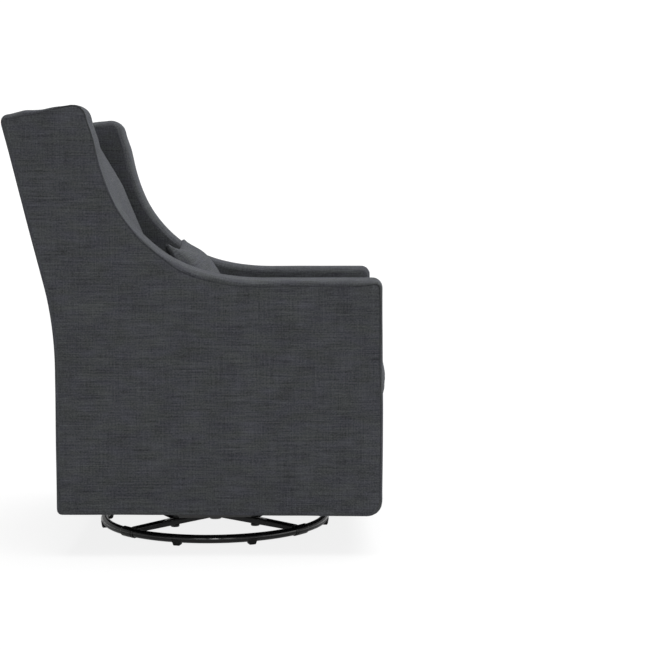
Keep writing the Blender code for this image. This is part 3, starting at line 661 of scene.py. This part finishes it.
def casing_section(inset, crest, ripple, z):
    """(depth from the outer face, inset from the outline) from the outer panel over to the inner one."""
    wing = share_of(z - 0.66, 0.10)
    lip = inset - 0.0022
    dome = min(0.0005 + (DOME - 0.0005) * crest, 0.6 * lip)
    outer_turn = 0.006 + 0.008 * crest
    inner_turn = 0.022 + 0.008 * wing
    inner_dome = 0.0004
    inner_inset = inner_dome + (0.80 - 0.26 * wing) * inner_turn
    ditch = 0.3 + 0.7 * crest
    section = [(sunk * ditch, inset + shift) for sunk, shift in SEAM_DITCH]
    for i in range(1, 8):
        turn = math.pi / 2 * i / 8
        fade = ripple * math.cos(turn) ** 2
        section.append((outer_turn * (1 - math.cos(turn)), dome + (lip - dome) * (1 - math.sin(turn)) + fade))
    start, end = outer_turn, ARM_THICKNESS - inner_turn
    for i in range(9):
        share = i / 8
        section.append((start + (end - start) * share, dome * (1 - share) ** 3 + inner_dome * share**3))
    for i in range(1, 9):
        turn = math.pi / 2 * i / 8
        fall = (inner_inset - inner_dome) * (1 - math.cos(turn))
        section.append((end + inner_turn * math.sin(turn), inner_dome + fall))
    return section


# rows of the casing's section
STRIP_ROW = 3  # the strip over the arm and wing starts in the seam
# the rows in the seam get painted shade where the edge is padded
SEAM_SHADE_ROWS = (2, 3, 4)
ROLL_ROW = 6  # the padded edge starts beside the seam
# the rows of the rolled padded edge get a painted highlight
HIGHLIGHT_ROWS = range(8, 14)
STRIP_SHIFT = 2.0  # the strip is cut from another part of the cloth

FRONT_BULGE = 0.0023
FRONT_SAG = 0.0022
TIP_LEAN = 0.0036
WING_TOP_LUMPS = (
    # y, spread, height
    (0.424, 0.014, -0.0030),
    (0.390, 0.012, 0.0018),
    (0.350, 0.020, -0.0020),
    (0.282, 0.030, -0.0024),
)


def filled_out(outline):
    """The outline as its padding shapes it: a bulging front, a wing tip that leans back, an uneven top."""
    y, z = outline[:, 0], outline[:, 1]
    bulge = FRONT_BULGE * np.exp(-(((z - 0.30) / 0.20) ** 2)) * (y < -0.40)
    sag = FRONT_SAG * np.clip((-0.10 - y) / 0.30, 0.0, 1.0) * (z < 0.12)
    lumps = sum(height * np.exp(-(((y - at) / width) ** 2)) for at, width, height in WING_TOP_LUMPS)
    tip = TIP_LEAN * np.clip((z - 0.955) / 0.035, 0.0, 1.0) * np.clip((0.36 - y) / 0.06, 0.0, 1.0)
    return np.stack([y - bulge + tip, z - sag + lumps * (z > 0.97)], axis=1)


def build_casing(name, side):
    """A padded arm and wing: its outer panel, the strip over its edge and its inner panel."""
    even, inward, run, length = evenly(casing_outline(), 0.005)
    even = filled_out(even)
    sections = []
    for i, ((y, z), s) in enumerate(zip(even, run)):
        crest = is_crest(y, z)
        turn = 1.0 - float(np.dot(inward[i - 3], inward[(i + 3) % len(even)]))
        ripple = 0.0030 * turn * math.sin(2 * math.pi * s / 0.013) * crest
        sections.append(casing_section(seam_inset(y, z), crest, ripple, z))
    sections = np.array(sections)
    sections[:, :, 1] = within_corners(sections[:, :, 1], inward, length / len(run))
    count, rows = sections.shape[:2]
    places = even[:, None, :] + inward[:, None, :] * sections[:, :, 1:2]
    depth = sections[:, :, 0]
    wobble = [0.0007 * noise.noise(Vector((s * 9.0, side * 3.0, 0.0))) for s in run]
    verts = []
    painted_highlight = []
    painted_seam_shade = []
    for row in range(rows):
        for i in range(count):
            x = side * (HALF_WIDTH - depth[i, row])
            y, z = places[i, row] + inward[i] * wobble[i] * (row >= ROLL_ROW)
            verts.append((x, y, z))
            # painted highlight along the rolled edge
            painted_highlight.append(0.3 if row in HIGHLIGHT_ROWS else 0.0)
            # painted shade in the seam where the edge is padded
            painted_seam_shade.append(is_crest(*even[i]) if row in SEAM_SHADE_ROWS else 0.0)

    def uv(row, k, r, along):
        if row < STRIP_ROW:
            return tuple(places[k, r])
        steps = np.diff(sections[k, STRIP_ROW : r + 1], axis=0)
        return (along, float(np.sum(np.hypot(*steps.T))) + STRIP_SHIFT)

    faces, uvs = wrapped(rows, run, length, uv)
    for row, puff in ((0, 0.0022), (rows - 1, -0.0015)):
        border = places[:, row]
        grid = close_end(faces, uvs, border, row * count, len(verts), 0.018)
        for (y, z), d in zip(grid, distances(grid, border)):
            bulge = puff * (1 - math.exp(-((d / 0.045) ** 2)))
            uneven = 0.0010 * noise.noise(Vector((y * 7.0, z * 7.0, side * 2.0 + row))) * min(d / 0.05, 1.0)
            verts.append((side * (HALF_WIDTH - depth[0, row] + bulge + uneven), y, z))
            painted_highlight.append(0.0)
            painted_seam_shade.append(0.0)
    floats = {"painted_highlight": painted_highlight, "painted_seam_shade": painted_seam_shade}
    made = piece(name, verts, faces, LINEN, "seat", uvs, (name.replace("_cover", ""),), floats)
    tidy_normals(made)
    seam = []
    for i in range(count):
        sunk = 0.0010 + 0.0008 * (1 - is_crest(*even[i]))
        seam.append((side * (HALF_WIDTH - sunk), *(even[i] + inward[i] * sections[i, 3, 1])))
    sew(name.replace("cover", "seam"), seam, 0.0004)


# ---- panels
def stretched(t):
    """A grid coordinate from 0 to 1 with its lines gathered towards both ends."""
    return 0.5 - 0.5 * math.cos(math.pi * t)


def panel(name, columns, rows, surface, material, stands_for, uv=None):
    """A closed thin pad: surface(u, v, outer) gives its two faces, which are joined round the border."""
    verts = []
    uv_points = []
    painted_seam_shade = []
    for outer in (True, False):
        for j in range(rows + 1):
            for i in range(columns + 1):
                u, v = stretched(i / columns), stretched(j / rows)
                verts.append(surface(u, v, outer))
                uv_points.append(uv(u, v) if uv else (verts[-1][0], verts[-1][2]))
                # painted shade along the border of the pad
                painted_seam_shade.append(1.0 if i in (0, columns) or j in (0, rows) else 0.0)
    layer = (rows + 1) * (columns + 1)
    faces = []
    for j in range(rows):
        for i in range(columns):
            a = j * (columns + 1) + i
            quad = (a, a + 1, a + columns + 2, a + columns + 1)
            faces.append(quad)
            faces.append(tuple(layer + k for k in reversed(quad)))
    border = list(range(columns))
    border += [j * (columns + 1) + columns for j in range(rows)]
    border += [rows * (columns + 1) + i for i in range(columns, 0, -1)]
    border += [j * (columns + 1) for j in range(rows, 0, -1)]
    for a, b in zip(border, border[1:] + border[:1]):
        faces.append((b, a, layer + a, layer + b))
    uvs = [uv_points[k] for face in faces for k in face]
    made = piece(name, verts, faces, material, "seat", uvs, stands_for, {"painted_seam_shade": painted_seam_shade})
    tidy_normals(made)
    return made


def rolled(distance, radius):
    """How far a rolled edge has fallen away: 1 at its border, 0 from the radius on."""
    return 1 - math.sqrt(1 - (1 - min(distance / radius, 1.0)) ** 2)


def edge_drop(u, v, width, height, roll, drop):
    """How far a padded panel's face falls away near its border."""
    return drop * rolled(min(min(u, 1 - u) * width, min(v, 1 - v) * height), roll)


# the rear panel covers the full width, from the underside up to the top roll
REAR_HALF = HALF_WIDTH - 0.014
REAR_BOTTOM_Z = BODY_BOTTOM_Z + LOWER_EDGE_RISE + 0.004
REAR_TOP_Z = 1.000
REAR_CORNER = 0.024
REAR_PUFF = 0.0026
REAR_ROLL = 0.010
REAR_DROP = 0.0045
REAR_THICKNESS = 0.010


def rear_point(u, v, outer=True):
    """A point of the rear panel's padded outside, or of the plain face behind it."""
    x = REAR_HALF * (2 * u - 1)
    corner = max(abs(x) - REAR_HALF + REAR_CORNER, 0.0)
    top = REAR_TOP_Z - REAR_CORNER + math.sqrt(REAR_CORNER**2 - corner**2)
    z = REAR_BOTTOM_Z + (top - REAR_BOTTOM_Z) * v
    bend = math.atan2(rear_y(z + 0.002) - rear_y(z - 0.002), 0.004)
    out = -REAR_THICKNESS
    if outer:
        uneven = 0.0008 * noise.noise(Vector((x * 6.0, z * 6.0, 4.0)))
        drop = edge_drop(u, v, 2 * REAR_HALF, REAR_TOP_Z - REAR_BOTTOM_Z, REAR_ROLL, REAR_DROP)
        out = REAR_PUFF + uneven - drop
    return (x, rear_y(z) + out * math.cos(bend), z - out * math.sin(bend))


def build_outside_back():
    made = panel("outside_back_cover", 48, 60, rear_point, LINEN, ("outside_back",))
    corners = [(0, 0), (1, 0), (1, 1), (0, 1)]
    seam = []
    for (u0, v0), (u1, v1) in zip(corners, corners[1:] + corners[:1]):
        for i in range(60):
            u, v = stretched(u0 + (u1 - u0) * i / 60), stretched(v0 + (v1 - v0) * i / 60)
            seam.append(Vector(rear_point(u, v)) + Vector((0.0, -0.0006, 0.0)))
    sew("outside_back_seam", seam, 0.0008)


# ---- inside back
LEANING_FACE = (
    # y, z from the deck up
    (0.104, 0.3193),
    (0.112, 0.450),
    (0.150, 0.600),
    (0.189, 0.720),
    (0.245, 0.856),
    (0.300, 0.950),
)
SEWN_DEPTH = 0.0104  # where the back pad's cover meets the rear panel
PAD_DEPTH = 0.0283  # the back pad's rear face, from the outside of the back
BACK_ROLL = 0.010
BACK_CROWN = 0.010
BACK_FULLNESS = 0.007


def inside_back_outline():
    corners = [(y, z, 0.08 if 0 < i else 0.0) for i, (y, z) in enumerate(LEANING_FACE)]
    top_z = BACK_HIGH.z
    # the cover is wrapped over the top and sewn to the rear panel
    corners += [(0.338, top_z, 0.030), (rear_y(top_z) - SEWN_DEPTH, top_z - 0.001, 0.014)]
    corners += [(rear_y(0.955) - SEWN_DEPTH, 0.955, 0)]
    corners += [(rear_y(z) - PAD_DEPTH, z, 0) for z in (0.93, 0.80, 0.62, 0.54, 0.43)]
    corners += [(rear_y(0.32) - PAD_DEPTH, LEANING_FACE[0][1], 0)]
    return rounded(corners, 6)


def build_inside_back():
    """The pad the sitter leans on: crowned across its width, drawn in where it meets the wings."""
    even, inward, run, length = evenly(inside_back_outline(), 0.009)
    half = BACK_HIGH.x
    stations = [0.0, 0.002, 0.005, 0.010, 0.018, 0.030, 0.050, 0.080, 0.120, 0.170, 0.225]
    xs = [-half + s for s in stations] + [0.0] + [half - s for s in reversed(stations)]
    count = len(even)
    verts = []
    places = []
    for x in xs:
        d = half - abs(x)
        corner = BACK_ROLL * rolled(d, BACK_ROLL)
        crown = BACK_CROWN * (1 - min(d / 0.20, 1.0)) ** 2
        for i, (y, z) in enumerate(even):
            front = share_of(rear_y(z) - 0.05 - y, 0.05)
            lift = share_of(z - 0.36, 0.05)
            uneven = 0.0015 * noise.noise(Vector((x * 5.0, y * 6.0, z * 6.0)))
            inset = (corner + crown - BACK_FULLNESS + uneven) * front * lift + 0.3 * corner
            places.append(even[i] + inward[i] * inset)
            verts.append((x, *places[-1]))
    faces, uvs = wrapped(len(xs), run, length, lambda row, k, r, along: (xs[r], along))
    for row in (0, len(xs) - 1):
        border = np.array(places[row * count : (row + 1) * count])
        grid = close_end(faces, uvs, border, row * count, len(verts), 0.030)
        verts += [(xs[row], y, z) for y, z in grid]
    made = piece("inside_back_cover", verts, faces, LINEN, "seat", uvs, ("inside_back",))
    tidy_normals(made)


# ---- front rail, deck and dust cover
def build_front_cover():
    half = COVER_HIGH.x
    low, high = BODY_BOTTOM_Z, COVER_HIGH.z

    def surface(u, v, outer):
        x = half * (2 * u - 1)
        z = low + (high - low) * v
        if not outer:
            return (x, COVER_HIGH.y, z)
        y = COVER_LOW.y + edge_drop(u, v, 2 * half, high - low, 0.012, 0.006)
        return (x, y + 0.0008 * noise.noise(Vector((x * 8.0, z * 8.0, 9.0))), z)

    made = panel("front_rail_padding", 40, 16, surface, LINEN, ("front_rail_cover",))


def build_deck():
    half = DECK_HIGH.x
    deep = DECK_HIGH.y - DECK_LOW.y

    def surface(u, v, outer):
        drop = edge_drop(u, v, 2 * half, deep, 0.014, 0.007)
        z = DECK_HIGH.z - drop if outer else DECK_LOW.z
        return (half * (2 * u - 1), DECK_LOW.y + deep * v, z)

    def uv(u, v):
        return (2 * half * u, deep * v)

    made = panel("seat_deck_cover", 36, 40, surface, LINEN_TURNED, ("seat_deck",), uv)


OPENING_HALF = 0.185  # half of the square opening for the mechanism


def build_dust_cover():
    """Cloth stapled under the frame, with an opening for the mechanism."""
    low, high = DUST_LOW, DUST_HIGH
    hole = (OPENING_HALF, AXIS_Y - OPENING_HALF, AXIS_Y + OPENING_HALF)
    xs = sorted(set(np.linspace(low.x, high.x, 41).tolist() + [-hole[0], hole[0]]))
    ys = sorted(set(np.linspace(low.y, high.y, 45).tolist() + [hole[1], hole[2]]))
    verts = []
    for z in (low.z, high.z):
        for y in ys:
            for x in xs:
                rim = min(x - low.x, high.x - x, y - low.y, high.y - y)
                away = max(abs(x) - hole[0], hole[1] - y, y - hole[2])
                free = min(rim / 0.02, 1.0)
                sag = -0.0016 * math.sin(math.pi * share_of(away, 0.05) / 2) * free
                sag += 0.0006 * noise.noise(Vector((x * 16.0, y * 16.0, 0.0))) * free
                verts.append((x, y, max(z + sag, low.z - 0.0003 + (z - low.z))))
    wide, deep = len(xs), len(ys)
    layer = wide * deep
    quads = []
    for j in range(deep - 1):
        for i in range(wide - 1):
            x, y = (xs[i] + xs[i + 1]) / 2, (ys[j] + ys[j + 1]) / 2
            if abs(x) < hole[0] and hole[1] < y < hole[2]:
                continue
            a = j * wide + i
            quads.append((a, a + 1, a + wide + 1, a + wide))
    faces = [tuple(reversed(q)) for q in quads] + [tuple(layer + k for k in q) for q in quads]
    edges = {}
    for quad in quads:
        for a, b in zip(quad, quad[1:] + quad[:1]):
            edges.setdefault(frozenset((a, b)), []).append((a, b))
    for pair in edges.values():
        if len(pair) == 1:
            a, b = pair[0]
            faces.append((a, b, layer + b, layer + a))
    uvs = [verts[k][:2] for face in faces for k in face]
    made = piece("dust_cover_cloth", verts, faces, LINING, "seat", uvs, ("dust_cover",))
    tidy_normals(made)


# ---- cushion and pillow
CLOTH_FRAMES = 20
TICKING = {
    "quality": 4,
    "mass": 0.25,
    "tension_stiffness": 12,
    "compression_stiffness": 12,
    "shear_stiffness": 5,
    "bending_stiffness": 0.3,
}


def points_of(made):
    return np.array([v.co for v in made.data.vertices])


def move_to(made, points):
    made.data.vertices.foreach_set("co", points.astype(np.float32).ravel())
    made.data.update()


def inflate(made, voxel, pressure, cap, limits, give=None):
    """Swell a closed cloth with air pressure; no point moves further than cap, none leaves limits.

    give(points) is the share of cap that each point may move.
    """
    mesh = made.data
    remesh = made.modifiers.new("remesh", "REMESH")
    remesh.mode = "VOXEL"
    remesh.voxel_size = voxel
    depsgraph = bpy.context.evaluated_depsgraph_get()
    made.data = bpy.data.meshes.new_from_object(made.evaluated_get(depsgraph))
    made.modifiers.clear()
    bpy.data.meshes.remove(mesh)
    start = points_of(made)
    cloth = made.modifiers.new("cloth", "CLOTH")
    for setting, value in TICKING.items():
        setattr(cloth.settings, setting, value)
    cloth.settings.use_pressure = True
    cloth.settings.uniform_pressure_force = pressure
    cloth.settings.effector_weights.gravity = 0.0
    cloth.point_cache.frame_start = 1
    cloth.point_cache.frame_end = CLOTH_FRAMES
    scene = bpy.context.scene
    for step in range(1, CLOTH_FRAMES + 1):
        scene.frame_set(step)
    evaluated = made.evaluated_get(bpy.context.evaluated_depsgraph_get())
    end = points_of(evaluated)
    made.modifiers.clear()
    scene.frame_set(1)
    move = end - start
    length = np.linalg.norm(move, axis=1)
    reach = cap * (give(start) if give else 1.0)
    move *= (reach * np.tanh(length / reach) / np.maximum(length, 1e-9))[:, None]
    end = np.clip(start + move, np.array(limits[0]), np.array(limits[1]))
    move_to(made, end)


def superbox(name, cuts, shape):
    """A closed box grid on -1..1, moved by shape(x, y, z)."""
    box = bmesh.new()
    bmesh.ops.create_cube(box, size=2.0)
    bmesh.ops.subdivide_edges(box, edges=box.edges[:], cuts=cuts, use_grid_fill=True)
    for vert in box.verts:
        vert.co = shape(*vert.co)
    mesh = bpy.data.meshes.new(name)
    box.to_mesh(mesh)
    box.free()
    return new_object(name, mesh)


def finish_soft(made, body, node):
    smooth = made.modifiers.new("subdivision", "SUBSURF")
    smooth.levels = 1
    smooth.render_levels = 1
    made.data.shade_smooth()
    made.data.materials.clear()
    made.data.materials.append(LINEN)
    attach(made, body)
    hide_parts(node)


def softly_capped(values, limits, ease):
    """Values kept at or above limits, easing in over the distance ease."""
    over = np.maximum(limits + ease - values, 0.0)
    return values + over**2 / (2 * ease) * (over < 2 * ease) + (over - ease) * (over >= 2 * ease)


CROWN_Z = 0.365  # the cushion's front stands out most at this height
CROWN_BOW = 0.0165  # its front corners stand this far behind its middle


def build_seat_cushion():
    low, high = CUSHION_LOW, CUSHION_HIGH
    centre = (low + high) / 2
    half = (high - low) / 2
    reach = half - Vector((0.003, 0.010, 0.016))

    def shape(x, y, z):
        # rounded vertical edges, sides drawn in, a crowned front and a crowned top
        px = x * reach.x - math.copysign(0.004 * y * y, x) * abs(x) ** 4
        front = 0.013 * x * x if y < 0 else 0.0
        py = y * reach.y + front * abs(y) ** 3 + 0.004 * z**4 * (1 if y < 0 else -1) * abs(y) ** 3
        crown = 0.010 * (1 - x**4) * (1 - y**4)
        pz = z * reach.z + (crown if z > 0 else 0.0) * abs(z)
        return centre + Vector((px, py, pz))

    made = superbox("seat_cushion_cover", 20, shape)
    limits = (
        (low.x + 0.0004, low.y, low.z + 0.0004),
        (high.x - 0.0004, high.y + 0.004, high.z + 0.006),
    )
    inflate(made, 0.0065, 4.0, 0.020, limits)
    points = points_of(made)
    short = points[:, 1].min() - low.y
    ahead = np.clip((centre.y - points[:, 1]) / half.y, 0.0, 1.0)
    points[:, 1] -= short * ahead**2
    across = points[:, 0] / half.x
    rise = points[:, 2] - CROWN_Z
    bow = low.y + CROWN_BOW * np.abs(across) ** 2.2 + np.where(rise > 0, 1.8, 1.6) * rise**2
    points[:, 1] = softly_capped(points[:, 1], bow, 0.003)
    move_to(made, points)
    box_uv(made.data)
    finish_soft(made, "cushion", "seat_cushion")


PILLOW_RIM = 0.0050
PILLOW_FRONT_SHARE = 0.86  # the front is flatter than the side that lies on the back
SIDE_PULL = 0.070
TOP_PULL = 0.130


def build_lumbar_pillow():
    width, thickness, height = PILLOW_SIZE

    def shape(x, y, z):
        dome = max(1 - x**4, 0.0) ** 0.9 * max(1 - z * z, 0.0) ** 0.95
        share = PILLOW_FRONT_SHARE if y < 0 else 1.0
        swell = PILLOW_RIM + (0.84 * thickness / 2 - PILLOW_RIM) * dome * share
        # the sides are drawn in between the corners, which stand out as ears
        pull_x = 1 - SIDE_PULL * (1 - abs(z) ** 2.5) * abs(x) ** 3
        pull_z = 1 - TOP_PULL * (1 - abs(x) ** 2.5) * abs(z) ** 3
        return Vector((x * pull_x * width / 2, y * swell, z * pull_z * height / 2))

    made = superbox("lumbar_pillow_cover", 30, shape)
    limits = ((-0.30, -0.10, -0.16), (0.30, 0.10, 0.16))

    def give(points):
        out_x = np.clip(np.abs(points[:, 0]) / (width / 2), 0.0, 1.0)
        out_z = np.clip(np.abs(points[:, 2]) / (height / 2), 0.0, 1.0)
        return 0.12 + 0.88 * (1 - out_x**5) * (1 - 0.7 * out_z**4)

    inflate(made, 0.0045, 4.0, 0.012, limits, give)
    box_uv(made.data)
    made.data.transform(Matrix.Translation(PILLOW_CENTRE) @ Matrix.Rotation(-PILLOW_LEAN, 4, "X"))
    finish_soft(made, "pillow", "lumbar_pillow")


# ---- base
SHARP_TURN = math.radians(40)


def polar(radius, angle, z=0.0):
    """A point at the radius from the swivel's axis; angle 0 is to the front and turns to the left."""
    return AXIS + Vector((radius * math.sin(angle), -radius * math.cos(angle), z))


def arc(radius, start, end, count, z):
    return [polar(radius, start + (end - start) * i / (count - 1), z) for i in range(count)]


def turned(angle):
    return Matrix.Translation(AXIS) @ Matrix.Rotation(angle, 4, "Z") @ Matrix.Translation(-AXIS)


def painted(name, rings, stands_for=(), weld=0.0):
    """A painted part of the base, skinned over rings of points; weld closes a ring of no size."""
    sides = len(rings[0])
    last = (len(rings) - 1) * sides
    faces = ring_quads(len(rings), sides)
    if not weld:
        faces.append(tuple(range(sides))[::-1])
    faces.append(tuple(range(last, last + sides)))
    verts = [point for ring in rings for point in ring]
    made = piece(name, verts, faces, PAINT, "base", None, stands_for)
    tidy_normals(made, weld)
    made.data.set_sharp_from_angle(angle=SHARP_TURN)


def painted_tube(name, stations, node, sides):
    """A base tube whose radius changes: stations are (centre, radius)."""
    rings = []
    for i, (point, radius) in enumerate(stations):
        along = stations[min(i + 1, len(stations) - 1)][0] - stations[max(i - 1, 0)][0]
        if along.length < 1e-6:
            along = stations[-1][0] - stations[0][0]
        along = along.normalized()
        across = along.cross(Vector((0.0, 0.0, 1.0))).normalized()
        rings.append(circle(point, radius, across, across.cross(along), sides))
    painted(name, rings, (node,))


def bevelled_box(name, low, high, edge, place, taper=1.0, droop=0.0):
    """A block with rounded edges; taper narrows its underside, droop lowers its top at the -Y end."""
    shape = bmesh.new()
    bmesh.ops.create_cube(shape, size=1.0)
    size = Vector(high) - Vector(low)
    middle = (Vector(low) + Vector(high)) / 2
    for vert in shape.verts:
        narrow = taper if vert.co.z < 0 else 1.0
        drop = droop if vert.co.y < 0 < vert.co.z else 0.0
        scale = Vector((size.x * narrow, size.y * (0.5 + 0.5 * narrow), size.z))
        vert.co = middle + vert.co * scale - Vector((0.0, 0.0, drop))
    bmesh.ops.bevel(shape, geom=shape.edges[:], offset=edge, segments=3, profile=0.5, affect="EDGES")
    mesh = bpy.data.meshes.new(name)
    shape.to_mesh(mesh)
    shape.free()
    mesh.transform(place)
    mesh.shade_smooth()
    mesh.set_sharp_from_angle(angle=math.radians(50))
    return mesh


def build_base():
    angles = [ARM_ANGLE, math.pi - ARM_ANGLE, math.pi + ARM_ANGLE, 2 * math.pi - ARM_ANGLE]
    angles = [angle + BASE_TURN for angle in angles]
    ends = [*angles[1:], angles[0] + 2 * math.pi]
    for name, start, end in zip(("left", "rear", "right", "front"), angles, ends):
        stations = [(p, RING_TUBE / 2 + 0.0006) for p in arc(RING_RADIUS, start, end, 46, RING_Z)]
        painted_tube(f"ring_{name}", stations, f"ring_tube_{name}", 24)
    for i, name in enumerate(("front_left", "rear_left", "rear_right", "front_right")):
        angle = angles[i]
        # the sleeve reaches further over the end tube than over the side tube, where it has a groove
        toward_side = 1 if i % 2 == 0 else -1
        shoulder = RING_TUBE / 2 - 0.001
        radius = SOCKET_TUBE / 2 + 0.0006
        profile = [
            (-SOCKET_HALF_ANGLE, shoulder),
            (-SOCKET_HALF_ANGLE, radius - 0.0012),
            (-SOCKET_HALF_ANGLE + 0.002, radius - 0.0003),
            (-SOCKET_HALF_ANGLE + 0.005, radius),
            *((-SOCKET_HALF_ANGLE + 0.015 * k, radius) for k in range(1, 9)),
            (0.036, radius),
            (0.037, shoulder),
            (0.042, shoulder),
            (0.043, radius),
            (SLEEVE_END - 0.003, radius),
            (SLEEVE_END, radius - 0.0012),
            (SLEEVE_END, shoulder),
        ]
        stations = [(polar(RING_RADIUS, angle + toward_side * t, RING_Z), r) for t, r in profile]
        painted_tube(f"socket_{name}", stations, f"base_arm_{name}", 28)
        low = (-ARM_SIZE[0] / 2, AXIS_Y - RING_RADIUS + 0.010, ARM_BOTTOM_Z)
        high = (ARM_SIZE[0] / 2, AXIS_Y - HUB_RADIUS - 0.0006, ARM_BOTTOM_Z + ARM_SIZE[1])
        mesh = bevelled_box(f"arm_{name}", low, high, 0.0025, turned(angle), droop=ARM_DROOP)
        register(f"arm_{name}", mesh, PAINT, "base", (f"base_arm_{name}",))
        place = polar(BOLT_CIRCLE, angle, ARM_BOTTOM_Z - 0.0003)
        nut = [
            (place, 0.0),
            (place, NUT_RADIUS),
            (place - Vector((0, 0, 0.0045)), NUT_RADIUS),
            (place - Vector((0, 0, 0.0056)), NUT_RADIUS - 0.0008),
            (Vector((place.x, place.y, NUT_BOTTOM_Z)), NUT_RADIUS - 0.0030),
        ]
        rings = [circle(p, r, Vector((1.0, 0.0, 0.0)), Vector((0.0, 1.0, 0.0)), 24) for p, r in nut]
        painted(f"arm_nut_{i + 1}", rings, weld=0.00001)
    number = 1
    for quarter in range(4):
        offset = SIDE_FOOT_OFFSET if quarter % 2 else END_FOOT_OFFSET
        for side in (-1, 1):
            place = turned(quarter * math.pi / 2 + side * offset + BASE_TURN)
            low = (-FOOT_HALF_WIDTH, AXIS_Y - RING_RADIUS - FOOT_HALF_DEPTH, 0.0)
            high = (FOOT_HALF_WIDTH, AXIS_Y - RING_RADIUS + FOOT_HALF_DEPTH, RING_Z - 0.001)
            mesh = bevelled_box("foot", low, high, 0.0018, place, 0.6)
            register(f"glide_{number}", mesh, NYLON, "base", (f"glide_foot_{number}",))
            number += 1


# ---- carried-over CAD nodes
CARRIED = {
    "black_steel": PAINT,
    "zinc_steel": ZINC,
    "timber": TIMBER,
    "nylon": NYLON,
    "lining": LINING,
    "linen": LINEN,
}


def paint_frame():
    """Give each CAD node that still shows the detailed material of its slot."""
    slots = {entry["node"]: entry["material_slot"] for entry in frame["record"]["subparts"]}
    for name, node in frame["nodes"].items():
        if node.hide_render:
            continue
        node.data.materials.clear()
        node.data.materials.append(CARRIED[slots[name]])


# ---- studio
AMBIENT = 0.220
BACKDROP = 1.1
GLOSSY_SHARE = 0.15  # how much of the bright floor shows in glossy paint


def build_studio():
    scene = bpy.context.scene
    floor_mesh = bpy.data.meshes.new("studio_floor")
    reach = 14.0
    corners = [(-reach, -reach, 0), (reach, -reach, 0), (reach, reach, 0), (-reach, reach, 0)]
    floor_mesh.from_pydata(corners, [], [(0, 1, 2, 3)])
    floor = new_object("studio_floor", floor_mesh)
    s = Shade("studio_floor")
    mottle = s.noise(s.position(), 3.0, 3.0)
    colour = s.mix(mottle, (0.56, 0.56, 0.56), (0.58, 0.58, 0.58))
    floor_mesh.materials.append(s.finish(Base_Color=colour, Roughness=0.9, Specular_IOR_Level=0.1))
    # what the camera sees of the floor is nearly white, with a faint shadow
    glow = s.node("ShaderNodeEmission", {"Color": (1.0, 1.0, 1.0), "Strength": 0.85})
    faint = s.node("ShaderNodeBsdfDiffuse", {"Color": (0.15, 0.15, 0.15)})
    seen = s.node("ShaderNodeAddShader", {0: glow, 1: faint})
    camera_ray = s.node("ShaderNodeLightPath")
    glossy_ray = camera_ray.node.outputs["Is Glossy Ray"]
    direct = s.math("MULTIPLY_ADD", glossy_ray, GLOSSY_SHARE, camera_ray)
    shown = s.node("ShaderNodeMixShader", {0: direct, 1: s.shader.outputs[0], 2: seen})
    s.tree.links.new(shown, s.tree.nodes["Material Output"].inputs["Surface"])
    floor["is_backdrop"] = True

    world = Shade("studio", bpy.data.worlds)
    world.tree.nodes.clear()
    lit, seen = (
        world.node("ShaderNodeBackground", {"Color": (1.0, 1.0, 1.0), "Strength": strength})
        for strength in (AMBIENT, BACKDROP)
    )
    camera_ray = world.node("ShaderNodeLightPath")
    sky = world.node("ShaderNodeMixShader", {0: camera_ray, 1: lit, 2: seen})
    output = world.tree.nodes.new("ShaderNodeOutputWorld")
    world.tree.links.new(sky, output.inputs["Surface"])
    scene.world = world.made

    lamps = (
        # name, direction the light comes from, strength, angular size
        ("overhead", (0.05, -0.20, 1.0), 3.50, 55.0),
        ("front", (-0.35, -1.0, 0.45), 0.40, 45.0),
        ("side", (-1.0, -0.04, 0.30), 0.200, 8.0),
        ("side_front", (-1.0, -0.30, 0.31), 0.065, 12.0),
        ("side_rear", (-1.0, 0.22, 0.31), 0.065, 12.0),
    )
    for name, source, strength, spread in lamps:
        light = bpy.data.lights.new(name, "SUN")
        light.energy = strength
        light.angle = math.radians(spread)
        lamp = new_object(name, light)
        lamp.rotation_euler = (-Vector(source)).to_track_quat("-Z", "Y").to_euler()

    lens = bpy.data.cameras.new("camera")
    lens.lens = 84.2
    lens.sensor_width = 36.0
    camera = new_object("camera", lens)
    turn, dip = 0.0158, 0.081
    forward = Vector((math.cos(turn) * math.cos(dip), -math.sin(turn) * math.cos(dip), -math.sin(dip)))
    camera.location = (-3.830, -0.2306, 0.813)
    camera.rotation_euler = forward.to_track_quat("-Z", "Y").to_euler()
    scene.camera = camera
    scene.view_settings.view_transform = "Standard"


# ---- assembly
build_casing("side_casing_left_cover", 1)
build_casing("side_casing_right_cover", -1)
build_outside_back()
build_inside_back()
build_front_cover()
build_deck()
build_dust_cover()
build_seat_cushion()
build_lumbar_pillow()
build_base()
paint_frame()
build_studio()

boxes = {"cad": CAD_BOX, "visual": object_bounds()}
{k: [list(corner) for corner in v] for k, v in boxes.items()}
